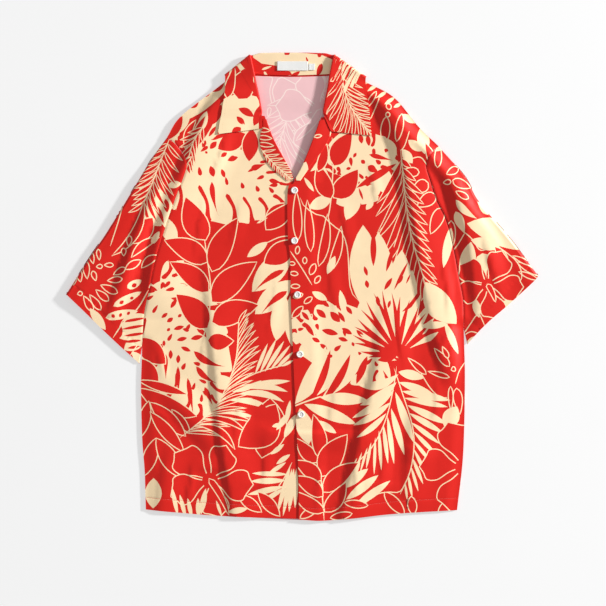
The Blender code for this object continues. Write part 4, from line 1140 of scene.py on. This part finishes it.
sleeve_print["left"] = (
    # loops and drops of the leaf drawn in lines
    in_lines((226, 235, 223, 195, 12), (238, 184, 258, 195, 12), (233, 170, 245, 172, 8),
             (278, 162, 248, 174, 15), (253, 156, 274, 144, 10), (245, 57, 246, 108, 15), belly=0.6,
             plump=0.55)
    + in_cream((288, 111, 253, 142, 12, 0.08), (268, 86, 253, 123, 15), (289, 139, 311, 119, 15),
               (233, 30, 246, 96, 15), (218, 222, 235, 231, 8), belly=0.62, plump=0.7)
    # leaves behind the flower
    + in_cream((271, 103, 360, 60, 41, 0.1), (278, 73, 268, 10, 26), (278, 76, 327, 63, 20))
    + stroke([(268, 88), (258, 70), (246, 55)])
    + stroke([(266, 90), (281, 76), (292, 60), (304, 60)])
    + in_lines((317, 65, 340, 40, 13), (354, 40, 393, 17, 10), (357, 24, 390, 10, 8),
               (347, 50, 383, 33, 8))
    + stroke([(327, 63), (354, 40), (362, 14), (347, -3)])
    + in_cream((311, -52, 350, -23, 23), (335, -23, 360, -6, 15), (284, -19, 292, -52, 13))
    + hibiscus((306, 2), 54, 64, pistil=(319, -26), between=(0,))
    + stroke([(263, -85), (278, -62), (291, -46), (302, -67)])
    + stroke([(263, -85), (278, -75), (294, -79)])
    + in_cream((271, -95, 288, -82, 7))
)
sleeve_under = {
    "right": strewn((-370, -60, -200, 240), 84, 62)
    + monstera((-250, 190), (-340, 30), 110, plain=True, seed=36)
    + frond([(-230, 60), (-270, 10), (-300, -60)], 46, 0.6, 12, seed=37)
    + sprig([(-215, 200), (-240, 140), (-250, 60)],
            [((-225, 180), (-250, 200), 26), ((-238, 150), (-208, 130), 26),
             ((-246, 100), (-290, 110), 28)]),
    "left": strewn((210, -60, 380, 240), 84, 63)
    + monstera((250, 180), (330, 40), 110, seed=38)
    + frond([(225, 100), (268, 30), (290, -40)], 46, 0.6, 12, plain=True, seed=39)
    + sprig([(350, 60), (310, 20), (290, -50)],
            [((340, 50), (372, 30), 24), ((318, 28), (290, 60), 24), ((300, -10), (332, -16), 24)]),
}
for side in SIDE:
    sleeve(side, sleeve_print[side], sleeve_under[side])


# Facings ----------------------------------------------------------------------------------------
# The insides of the two fronts' edges, faced with the printed cloth and turned out beside the
# neck V, where they lie on the fronts as small lapels under the collar.

FACING_OVER = 1.4            # how far a facing rolls past its front's edge
FACING_ROWS = (0.3, 0.8, 1.6, 3.0)
FACING_PITCH = 4.0
# Outer edge of each turned-out facing, from the foot of the V up, and its top: x, y
FACING_EDGE = {
    "right": [(-24, 173), (-54, 200), (-68, 228), (-68, 253)],
    "left": [(-2, 174), (16, 200), (36, 226), (48, 250)],
}
FACING_TOP = {"right": [(-64.3, 259.5), (-64.7, 275)], "left": [(45.3, 259.5), (37.5, 275)]}


def facing(side, motifs):
    """One turned-out facing, lying on its front."""
    roll = ROLL_LINE[side]
    roll = roll[(roll[:, 1] > FACING_EDGE[side][0][1]) & (roll[:, 1] < FACING_TOP[side][-1][1])]
    inner = through(roll[::2], 50)
    inner[:, 0] += FACING_OVER if side == "right" else -FACING_OVER
    edge = through(FACING_EDGE[side] + FACING_TOP[side], 50)
    outline = joined(inner, np.array([inner[-1], edge[-1]]), edge[::-1], np.array([edge[0], inner[0]]))
    into = -1 if area_of(outline) < 0 else 1
    rows = beside(inner, *[into * inward for inward in FACING_ROWS])
    rows += beside(edge, *[-into * inward for inward in FACING_ROWS])
    places, corners, ink = cut(outline, motifs, FACING_PITCH, rows)

    def top(x, y):
        step = overlap_step(x, y) if side == "left" else 0.0
        edges = np.minimum(distance(x, y, inner), distance(x, y, edge))
        return lie(x, y) + step + GAP + CLOTH - 0.5 * rounding(edges, 1.2)

    x, y = places.T
    upper = np.column_stack([places, top(x, y)])
    lower = np.column_stack([places, top(x, y) - THIN_WALL])
    piece = shell(f"facing_{side}_cloth", corners, ink, upper, lower, upward(top, x, y, 0.2), FINISHES)
    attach(piece, "root")
    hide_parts(f"facing_{side}")


facing_print = {
    "right": frond([(-69, 228), (-49, 205), (-13, 172)], 25, 0.42, 9, spread=58, plain=True, seed=41)
    + in_lines((-75, 235, -46, 231, 7), (-75, 246, -49, 243, 7), (-75, 258, -52, 256, 7)),
    "left": in_lines((50, 261, 57, 231, 12), (20, 246, 33, 248, 5))
    + in_cream((24, 184, 40, 235, 12, -0.15), (-6, 169, 7, 205, 20)),
}
for side in SIDE:
    facing(side, facing_print[side])


# Collar -----------------------------------------------------------------------------------------
# A one-piece camp collar: two layers of the printed cloth sewn, turned and pressed, that stand
# up at the back of the neck and fold over all round, edge-stitched along the leaf.

# From the notch to the back of the neck. Each row is a section through it: the seam it is sewn
# to, the roll, the leaf's edge, the turn round the neck, how many degrees the cloth bends at the
# roll, and the roll's radius and height.
COLLAR = {
    "right": [
        # seam,        roll,           edge,        turn, bend, radius, height
        ((-66, 262), (-65.0, 260.0), (-138, 250), 90, 0, 1.6, 3.8),
        ((-66, 272), (-65.4, 271.0), (-135, 269), 90, 0, 1.6, 5.6),
        ((-67, 283), (-65.8, 282.0), (-132, 283), 90, 40, 1.9, 7.4),
        ((-72, 286), (-66.0, 286.0), (-131.3, 287.5), 90, 110, 1.4, 8.2),
        ((-72, 290), (-66.2, 290.0), (-130.5, 292), 90, 180, 1.8, 8.8),
        ((-84, 311), (-70.8, 316), (-128, 308), 90, 180, 2.2, 8.8),
        ((-93, 327), (-74.8, 333), (-126, 325), 90, 180, 2.2, 8.8),
        ((-100, 340), (-79, 355), (-126, 336), 90, 180, 1.9, 8.8),
        ((-97.3, 350.6), (-84.3, 378.7), (-126.3, 346.2), 60, 180, 1.6, 8.2),
        ((-97.6, 352), (-84.8, 380), (-127, 348), 0, 180, 1.6, 5.4),
        ((-96.2, 351.9), (-82.9, 379.9), (-125.8, 346.8), -65, 180, 1.6, 2.6),
        ((-82, 349.5), (-69, 383.6), (-92, 324), -90, 180, 1.8, 2.6),
        ((-51, 348.5), (-44, 384.4), (-56, 320), -90, 180, 2.1, 2.9),
        ((-18, 347.5), (-16, 384.4), (-18, 318), -90, 180, 2.1, 2.9),
    ],
    "left": [
        ((45, 258), (48.0, 255.0), (115, 248), 90, 0, 1.6, 3.8),
        ((42, 270), (42.6, 266.5), (113.5, 266), 90, 0, 1.6, 5.6),
        ((38, 281), (36.8, 280), (112.1, 282), 90, 40, 1.9, 7.4),
        ((42, 285), (36.0, 285), (111.6, 286.5), 90, 110, 1.4, 8.2),
        ((41.4, 290.2), (35.6, 290), (111, 291), 90, 180, 1.8, 8.8),
        ((51, 305), (38.8, 307), (109, 307), 90, 180, 2.2, 8.8),
        ((60, 323), (42.8, 327), (106, 325), 90, 180, 2.2, 8.8),
        ((66.5, 337), (46.5, 350), (105, 335), 90, 180, 1.9, 8.8),
        ((63.8, 350.6), (52.3, 378.7), (105.3, 343.2), 60, 180, 1.6, 8.2),
        ((64, 352), (52.8, 380), (106, 345), 0, 180, 1.6, 5.4),
        ((62.6, 352.2), (50.6, 380.5), (105.0, 344.3), -60, 180, 1.5, 3.0),
        ((48, 350), (38, 383.4), (71, 324), -90, 180, 1.8, 2.6),
        ((15, 348.5), (10, 384.4), (27, 320), -90, 180, 2.1, 2.9),
        ((-18, 347.5), (-16, 384.4), (-18, 318), -90, 180, 2.1, 2.9),
    ],
}
ROLL_STEPS = 7               # places on the stand and the roll of each section
ROLL_TURNS = 4               # how many of the steps between them go over the roll
ROLL_CHORD = 0.765           # length of such a step, as a share of the roll's radius
STAND_STEP = 0.35
LEAF_STEPS = 5
LEAF_ARCH = 1.3              # how full the leaf is between the roll and its edge
COLLAR_STEPS = 2
COLLAR_ROOM = 7.0            # the leaf clears the highest of the fronts as far round it as this
FINER = 6                    # how much finer the collar's surface is than its sections
COLLAR_PITCH = 1.4           # spacing, in millimetres, that the collar is printed by


def collar_sections():
    """The collar's sections from one notch to the other, with as many again between them."""
    rows = []
    table = COLLAR["right"] + COLLAR["left"][-2::-1]
    for number, (seam, roll, edge, *rest) in enumerate(table):
        side = 1.0 if number < len(COLLAR["right"]) else -1.0
        rows.append((*seam, *roll, *edge, *rest, side))
    made = []
    for low, high in zip(rows, rows[1:]):
        for step in range(COLLAR_STEPS):
            t = step / COLLAR_STEPS
            made.append([a * (1 - t) + b * t for a, b in zip(low, high)])
    return made + [list(rows[-1])]


def over_fronts(x, y):
    """Height that clears the fronts' upper faces round a place."""
    far = COLLAR_ROOM
    around = ((0, 0), (far, 0), (-far, 0), (0, far), (0, -far))
    return max(float(lie(x + dx, y + dy)) for dx, dy in around) + GAP


def collar_path(section):
    """Middle of the collar's wall, from the seam over the roll to the leaf's edge."""
    seam, roll, edge = np.array(section[0:2]), np.array(section[2:4]), np.array(section[4:6])
    turn, bend = math.radians(section[6]), math.radians(section[7])
    radius, height, side = section[8:11]
    on_front = (1 + math.sin(turn)) / 2
    half = COLLAR_WALL / 2
    edge_z = over_fronts(*edge) * on_front + half
    seam_z = (lie(*seam) + 0.4) * on_front + (lift(*seam) + 0.5) * (1 - on_front)
    out = (edge - roll) / np.linalg.norm(edge - roll)
    across = np.array([*out, 0.0])
    sideways = np.array([-out[1], out[0], 0.0]) * -side
    up = sideways * math.cos(turn) + np.array([0, 0, 1.0]) * math.sin(turn)
    flat = [np.zeros(2)]
    for step in range(ROLL_STEPS):
        a = bend * min(step + 0.5, ROLL_TURNS) / ROLL_TURNS
        length = ROLL_CHORD * radius if step < ROLL_TURNS else STAND_STEP
        flat.append(flat[-1] - length * np.array([math.cos(a), math.sin(a)]))
    flat = np.array(flat[:ROLL_STEPS])
    flat[:, 0] -= flat[:, 0].min()
    top = np.array([*roll, height]) + up * radius
    path = [top + across * a + up * u for a, u in flat[::-1]]
    if bend > 3.1:                                 # turned right over, with a stand to the seam
        path[0] = np.array([*seam, seam_z])
        path[1] = (path[0] + path[2]) / 2
    rolled = path[-1]
    for step in range(1, LEAF_STEPS + 1):
        t = step / LEAF_STEPS
        place = rolled[:2] * (1 - t) + edge * t
        z = edge_z + (rolled[2] - edge_z) * (1 - t) ** LEAF_ARCH
        path.append(np.array([*place, z]))
    if section[6] > 80:                            # on a front
        for place in path[ROLL_STEPS - 1:] if bend > 1 else path:
            place[2] = max(place[2], over_fronts(*place[:2]) + half)
    return path


def finer(rows, times):
    """Smoother rows: each stretch between two rows is curved and split."""
    p = np.concatenate([2 * rows[:1] - rows[1:2], rows, 2 * rows[-1:] - rows[-2:-1]])
    made = [curve(*four, t) for four in zip(p, p[1:], p[2:], p[3:]) for t in np.arange(times) / times]
    return np.array(made + [rows[-1]])


def collar_surface():
    """Places on the middle of the wall, evenly spaced along each section and round the neck."""
    rough = np.array([collar_path(section) for section in collar_sections()])
    rows = finer(rough, FINER)
    return finer(rows.swapaxes(0, 1), FINER).swapaxes(0, 1)


surface = collar_surface()
leaf_from = (ROLL_STEPS - 1) * FINER
STAND_TO = 2 * FINER           # as far up the stand as its print is laid out in plan
ROLL_PRINTED = 2 * FINER       # how much farther what reaches that runs, over the roll
run_round, run_along = np.gradient(surface, axis=0), np.gradient(surface, axis=1)
faces_up = np.cross(run_round, run_along)
faces_up /= np.linalg.norm(faces_up, axis=2)[..., None] + 1e-12
faces_up *= np.sign(faces_up[3, -8, 2])        # there, near a notch, the leaf lies flat


def on_surface(values, at):
    """Values of the collar's surface at places between its rows."""
    row, column = at[:, 0].clip(0, len(values) - 1.001), at[:, 1].clip(0, values.shape[1] - 1.001)
    i, j = row.astype(int), column.astype(int)
    s, t = (row - i)[:, None], (column - j)[:, None]
    low = values[i, j] * (1 - t) + values[i, j + 1] * t
    high = values[i + 1, j] * (1 - t) + values[i + 1, j + 1] * t
    return low * (1 - s) + high * s


def onto(shape, first, last):
    """Where a shape given in plan lies on the collar between two of its surface's columns."""
    flat = surface[:, first:last, :2]
    far = ((flat[None] - shape[:, None, None]) ** 2).sum(-1).reshape(len(shape), -1)
    row, column = np.unravel_index(far.argmin(1), flat.shape[:2])
    at = np.stack([row, column + first], axis=1).astype(float)
    for _ in range(4):                             # each round comes closer
        here = on_surface(surface[..., :2], at)
        ahead, beyond = (on_surface(part[..., :2], at) for part in (run_round, run_along))
        miss = shape - here
        size = ahead[:, 0] * beyond[:, 1] - ahead[:, 1] * beyond[:, 0]
        size = np.where(abs(size) < 1e-3, 1e-3, size)
        move = np.stack([miss[:, 0] * beyond[:, 1] - miss[:, 1] * beyond[:, 0],
                         ahead[:, 0] * miss[:, 1] - ahead[:, 1] * miss[:, 0]], axis=1) / size[:, None]
        at += move.clip(-3, 3)
        at = at.clip([-1, first], [len(surface), last])
    return at


leaf_rib = [(65, 354), (70, 324), (83, 291), (118, 245)]
leaf_print = {
    "right": in_cream((-161, 276, -36, 279, 76), plump=0.6)
    + in_lines((-72, 370, -104, 307, 40, -0.08), (-108, 373, -123, 309, 16), belly=0.72, plump=0.6)
    + in_red((-104, 292, -79, 279, 12, 0.05), (-107, 279, -94, 266, 9), (-79, 264, -62, 301, 16),
             (-115, 250, -100, 261, 13))
    + stroke([(-97, 268), (-92, 259), (-89, 248)]),
    "left": frond(leaf_rib, 66, 0.58, 12, spread=46, plain=True, sides=(-1,), ends=(0.7, 0.3), seed=53)
    + frond(leaf_rib, 43, 0.55, 13, spread=56, plain=True, sides=(1,), ends=(1.0, 0.4), seed=54)
    + in_lines((65, 347, 47, 337, 7), (66, 354, 83, 373, 7), (63, 357, 53, 377, 7)),
}
stand_print = (
    filled([(-85, 396), (80, 396), (73, 324), (-23, 324), (-24, 357), (-39, 363), (-66, 367),
            (-80, 377)])
    + filled([(-102, 373), (-80, 373), (-64, 362), (-39, 360), (-19, 354), (-16, 324), (-85, 324)],
             ink=0)
    + filled(blade((-38, 387), (-13, 385), 10, 0.5, plump=0.6),
             blade((-18, 344), (-3, 354), 7, plump=0.6),
             blade((25, 344), (33, 367), 9, 0.6, plump=0.6),
             blade((28, 377), (32, 390), 7, plump=0.6), blade((10, 370), (7, 378), 3), ink=0)
    + filled(blade((-66, 357), (-49, 363), 4), blade((-62, 354), (-56, 344), 4, plump=0.6))
)
at_rows, at_columns = len(surface) - 1, surface.shape[1] - 1
on_leaf = [(onto(shape, leaf_from, at_columns + 1), ink)
           for side in SIDE for shape, ink in leaf_print[side]]
for shape, ink in stand_print:
    at = onto(shape, 0, STAND_TO)
    on_leaf.append((at + [[0, 1]] * (at[:, 1:] > STAND_TO - 0.3) * ROLL_PRINTED, ink))
corners_at = np.array([[0, 0], [at_rows, 0], [at_rows, at_columns], [0, at_columns]], float)
collar_outline = joined(*[np.linspace(a, b, 160)
                          for a, b in zip(corners_at, np.roll(corners_at, -1, 0))])
places, corners, ink = cut(collar_outline, on_leaf, COLLAR_PITCH)
middle, outward = on_surface(surface, places), on_surface(faces_up, places)
outward /= np.linalg.norm(outward, axis=1)[:, None]
half = COLLAR_WALL / 2
collar = shell("collar_cloth", corners, ink, middle + outward * half, middle - outward * half,
               outward, (right_side, right_side))
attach(collar, "root")
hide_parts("collar")


# Labels -----------------------------------------------------------------------------------------
# A blank woven label and a small blank size tab, white damask with folded ends, sewn to the stand
# behind the neck with white thread.

LABEL = (-15.0, 363.0, 51.0, 15.0)      # middle x, middle y, width, height
SIZE_TAB = (16.5, 361.5, 10.5, 10.5)
LABEL_WALL = 1.0
LABEL_WHITE = "#FBFBF9"
RIB_PITCH = 0.8                         # ribs of the damask
STAND_FROM = 347.5                      # y of the stand's seam behind the neck
STAND_DEPTH = 34.0                      # from there to the roll, in plan


def damask(name, colour):
    """Woven polyester label: dense satin ribs across it that catch the light evenly."""
    made, tree, shader = finish_of(name, 0.6, Sheen_Weight=0.15)
    place = node(tree, "TexCoord").outputs["Object"]
    ribs = node(tree, "TexWave", {"Vector": place, "Scale": WAVE / (RIB_PITCH * MM), "Distortion": 0.3},
                bands_direction="Y").outputs["Fac"]
    tree.links.new(blended(tree, ribs, "#DFDFDB", colour), shader.inputs["Base Color"])
    bump = node(tree, "Bump", {"Height": ribs, "Strength": 0.3, "Distance": 0.0002})
    tree.links.new(bump.outputs[0], shader.inputs["Normal"])
    return made


woven_label = damask("woven_damask_white", LABEL_WHITE)


def stand_height(y):
    """Height of the top of the stand behind the neck."""
    radius, height = COLLAR["right"][-1][5:7]
    seam_top = NECK_LIFT + 0.5 + COLLAR_WALL / 2
    roll_top = height + radius + COLLAR_WALL / 2
    return seam_top + (roll_top - seam_top) * np.clip((y - STAND_FROM) / STAND_DEPTH, 0, 1)


def sewn_label(name, node_name, box):
    """A label with its ends folded under, lying on the stand."""
    middle_x, middle_y, width, height = box
    bm = bmesh.new()
    made = bmesh.ops.create_grid(bm, x_segments=int(width), y_segments=int(height), size=0.5)
    bmesh.ops.scale(bm, vec=(width, height, 1), verts=made["verts"])
    bmesh.ops.translate(bm, vec=(middle_x, middle_y, 0), verts=made["verts"])
    bmesh.ops.solidify(bm, geom=bm.faces[:], thickness=LABEL_WALL)
    low = min(vert.co.z for vert in bm.verts)
    for vert in bm.verts:
        across = abs(vert.co.x - middle_x) / (width / 2)
        # its folded ends are thicker, and their edges are drawn down by the stitches
        raised = 0.12 * smooth((across - 0.88) / 0.05) - 0.25 * smooth((across - 0.97) / 0.03)
        bow = 0.15 * math.sin(across * 5 + middle_x)
        vert.co.z += stand_height(vert.co.y) + GAP + 0.2 - low + raised + bow * 0.5
    bmesh.ops.scale(bm, vec=(MM, MM, MM), verts=bm.verts)
    bmesh.ops.recalc_face_normals(bm, faces=bm.faces)
    mesh = smooth_mesh(bm, name, woven_label)
    mesh.set_sharp_from_angle(angle=math.radians(50))
    piece = placed(name, mesh)
    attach(piece, "root")
    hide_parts(node_name)


sewn_label("label_woven", "label", LABEL)
sewn_label("size_tab_woven", "size_tab", SIZE_TAB)


# Buttons ----------------------------------------------------------------------------------------
# Five 18-ligne four-hole buttons turned from white polyester resin, each sewn on with two bars of
# thread.

BUTTONS = [(-12, 158), (-12, 75), (-7, -14), (-3, -112), (-1, -211)]
BUTTON_HOLES_APART = 2.6
BUTTON_FLOOR = 1.8           # height of the dish over the button's underside
THREAD_WIDTH = 0.75
TWIST_PITCH = 0.6            # turns of the thread's two strands


def polished_resin(name, colour):
    """Cast polyester resin, turned and tumbled: white, glossy and very slightly clouded."""
    made, tree, shader = finish_of(name, 0.22, Coat_Weight=0.3, Coat_Roughness=0.08, IOR=1.56)
    place = node(tree, "TexCoord").outputs["Object"]
    cloud = node(tree, "TexNoise", {"Vector": place, "Scale": 220.0, "Detail": 3.0,
                                    "Distortion": 1.2}).outputs["Fac"]
    tree.links.new(blended(tree, cloud, "#E9E6E1", colour), shader.inputs["Base Color"])
    return made


def spun_thread(name, colour):
    """Two-ply polyester thread: a soft twist of fine shiny strands."""
    made, tree, shader = finish_of(name, 0.55, Sheen_Weight=0.3)
    place = node(tree, "TexCoord").outputs["Object"]
    twist = node(tree, "TexWave", {"Vector": place, "Scale": WAVE / (TWIST_PITCH * MM),
                                   "Distortion": 1.0}, bands_direction="DIAGONAL").outputs["Fac"]
    shade = node(tree, "MapRange", {"Value": twist, "To Min": 0.82, "To Max": 1.06}).outputs[0]
    twisted = node(tree, "HueSaturation", {"Color": linear(colour), "Value": shade})
    tree.links.new(twisted.outputs[0], shader.inputs["Base Color"])
    return made


resin = polished_resin("button_resin_polished", "#FAF8F5")
white_thread = spun_thread("sewing_thread_white", "#F2EEEA")
red_thread = spun_thread("sewing_thread_red", "#E2544A")

bm = bmesh.new()
for number, (x, y) in enumerate(BUTTONS, 1):
    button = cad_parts[f"button_{number}"]
    button.data.materials.clear()
    button.data.materials.append(resin)
    floor_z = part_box(f"button_{number}")[0].z / MM + BUTTON_FLOOR
    for row in (-1, 1):
        bar = bmesh.ops.create_uvsphere(bm, u_segments=10, v_segments=8, radius=0.5)["verts"]
        size = (BUTTON_HOLES_APART + 2 * THREAD_WIDTH, THREAD_WIDTH * 1.3, THREAD_WIDTH * 1.2)
        bmesh.ops.scale(bm, vec=size, verts=bar)
        bmesh.ops.translate(bm, vec=(x, y + row * BUTTON_HOLES_APART / 2, floor_z + 0.1), verts=bar)
bmesh.ops.scale(bm, vec=(MM, MM, MM), verts=bm.verts)
button_threads = placed("button_threads", smooth_mesh(bm, "button_threads", white_thread))
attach(button_threads, "root")


# Stitching --------------------------------------------------------------------------------------
# Lockstitch in red thread along the hem, the cuffs, the front edge and the collar's leaf, about
# three stitches to the centimetre, each pulled a little into the cloth.

STITCH = 3.0                 # from one needle hole to the next
STITCH_LONG = 2.3
STITCH_WIDTH = 0.5
SUNK = 0.2                   # how far a stitch is pulled into the cloth
PLACKET_DEPTH = 2.0          # from the front edge to its stitching
CUFF_DEPTH = 22.0            # from a cuff's edge to its stitching
HEM_HIDDEN = -8.0            # x from which the left front covers the right one's hem
LABEL_INSET = 1.2            # from a label's folded ends to its stitching
HOLE_HALF = (0.9, 8.6)       # half the width and length of a buttonhole's two rows


def stitches(name, lines, thread):
    """Rows of stitches along lines of places, each line with the normals of its cloth."""
    bm = bmesh.new()
    bmesh.ops.create_cube(bm, size=1.0)
    bmesh.ops.bevel(bm, geom=bm.edges[:] + bm.verts[:], offset=0.3, segments=2, profile=0.5,
                    affect="EDGES", material=-1)
    stitch_verts = np.array([vert.co for vert in bm.verts])
    stitch_faces = [[vert.index for vert in face.verts] for face in bm.faces]
    bm.free()
    verts, faces = [], []
    for line, normals in lines:
        far = np.concatenate([[0], np.cumsum(np.linalg.norm(np.diff(line, axis=0), axis=1))])
        for at in np.arange(STITCH, far[-1] - STITCH, STITCH):
            place = np.array([np.interp(at, far, line[:, k]) for k in range(3)])
            ahead = np.array([np.interp(at + 0.5, far, line[:, k]) for k in range(3)]) - place
            ahead /= np.linalg.norm(ahead)
            up = np.array([np.interp(at, far, normals[:, k]) for k in range(3)])
            up /= np.linalg.norm(up)
            side = np.cross(up, ahead)
            form = stitch_verts * [STITCH_LONG, STITCH_WIDTH, STITCH_WIDTH * 0.8]
            faces += [[corner + len(verts) for corner in face] for face in stitch_faces]
            verts += list(place + form[:, :1] * ahead + form[:, 1:2] * side + form[:, 2:] * up)
    mesh = bpy.data.meshes.new(name)
    mesh.from_pydata(np.array(verts) * MM, [], faces)
    mesh.materials.append(thread)
    mesh.shade_smooth()
    piece = placed(name, mesh)
    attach(piece, "root")


def on_front(side, line):
    """A line given in plan, laid on a front with its normals."""
    def top(x, y):
        return lie(x, y) + (overlap_step(x, y) if side == "left" else 0.0)

    x, y = line.T
    return np.column_stack([line, top(x, y)]), upward(top, x, y)


def on_collar(rows, columns):
    """Places on the collar's upper side and their normals, at rows and columns of its surface."""
    at = np.stack([rows, columns], axis=1).astype(float)
    up = on_surface(faces_up, at)
    up /= np.linalg.norm(up, axis=1)[:, None]
    return on_surface(surface, at) + up * (COLLAR_WALL / 2 - SUNK), up


sewn = []
for side in SIDE:
    hem = through(HEM[side], 200) + [0, HEM_DEPTH]
    if side == "right":
        hem = hem[hem[:, 0] < HEM_HIDDEN]
    sewn.append(on_front(side, hem))
    cuff = through(CUFF[side], 60)
    inward = np.array(CUFF[side], float).mean(0) - ARM_LINE[side].mean(0)
    cuff = cuff - inward / np.linalg.norm(inward) * CUFF_DEPTH
    sewn.append(on_front("right", cuff))
edge = through(FRONT_EDGE[:-1], 200)
sewn.append(on_front("left", edge + [PLACKET_DEPTH, 0]))
stitches("front_stitches", [(line - [0, 0, SUNK], up) for line, up in sewn], red_thread)

round_neck = np.linspace(4, at_rows - 4, 300)
notch = np.linspace(leaf_from + 4, at_columns - 3, 40)
stitches("collar_stitches", [
    on_collar(round_neck, np.full(300, at_columns - 2.6)),
    on_collar(np.full(40, 3.0), notch), on_collar(np.full(40, at_rows - 3.0), notch)], red_thread)

label_lines = []
for x, y, width, height in (LABEL, SIZE_TAB):
    for side in (-1, 1):
        line = np.array([[x + side * (width / 2 - LABEL_INSET), y + part * (height / 2 - 1)]
                         for part in (-1, 0, 1)])
        z = stand_height(line[:, 1]) + GAP + LABEL_WALL + 0.22
        label_lines.append((np.column_stack([line, z]), np.tile([0, -0.2, 0.98], (3, 1))))
stitches("label_stitches", label_lines, white_thread)

hole_lines = []
for x, y in BUTTONS:
    for side in (-1, 1):
        line = np.array([[x + side * HOLE_HALF[0], y + part * HOLE_HALF[1]]
                         for part in np.linspace(-1, 1, 9)])
        hole_lines.append(on_front("left", line))
stitches("buttonhole_stitches", [(line - [0, 0, 0.15], up) for line, up in hole_lines], red_thread)


# Stage, light and camera ------------------------------------------------------------------------
# A white table that glows a little, a painted glow that lightens the shadows cast on it, seen from
# straight above in soft light that comes low from the wearer's left and the collar.

PICTURE_ACROSS = 1000.0      # how much of the table the picture takes in
PICTURE_MIDDLE = (2.06, -27.6)
CAMERA_HIGH = 3000.0
TABLE_LOW = 0.5              # how far the table is under the cloth
KEY_FROM = (7.9, 2.5, 2.85)  # place of the light, in metres
KEY_SIZE = 0.7
KEY_POWER = 1330
SKY_POWER = 0.45

floor_bm = bmesh.new()
bmesh.ops.create_grid(floor_bm, x_segments=1, y_segments=1, size=40.0)
floor_mesh = bpy.data.meshes.new("table")
floor_bm.to_mesh(floor_mesh)
floor_bm.free()
# The table's emission is painted light: a glow that lightens the shadows cast on it. Its own base colour
# is grey.
glowing_table_top, tree, shader = finish_of("table_grey_with_painted_fill_glow", 0.7, Emission_Color=linear("#FFFFFF"),
                                    Emission_Strength=0.52)
place = node(tree, "TexCoord").outputs["Object"]
paint = node(tree, "TexNoise", {"Vector": place, "Scale": 3.0, "Detail": 2.0}).outputs["Fac"]
tree.links.new(blended(tree, paint, "#A6A6A6", "#AAAAAA"), shader.inputs["Base Color"])
floor_mesh.materials.append(glowing_table_top)
floor = placed("table", floor_mesh)
floor.location.z = -TABLE_LOW * MM

key = bpy.data.lights.new("key", "AREA")
key.size = KEY_SIZE
key.energy = KEY_POWER
soft_box = placed("key", key)
soft_box.location = KEY_FROM
soft_box.rotation_euler = (-Vector(KEY_FROM)).to_track_quat("-Z", "Y").to_euler()
world = bpy.data.worlds.new("studio")
world.use_nodes = True
world.node_tree.nodes["Background"].inputs["Color"].default_value = linear("#FFFFFF")
world.node_tree.nodes["Background"].inputs["Strength"].default_value = SKY_POWER
bpy.context.scene.world = world
bpy.context.scene.view_settings.view_transform = "Standard"

camera = bpy.data.cameras.new("camera")
camera.sensor_width = 36.0
camera.lens = 36.0 * CAMERA_HIGH / PICTURE_ACROSS
eye = placed("camera", camera)
eye.location = (PICTURE_MIDDLE[0] * MM, PICTURE_MIDDLE[1] * MM, CAMERA_HIGH * MM)
bpy.context.scene.camera = eye
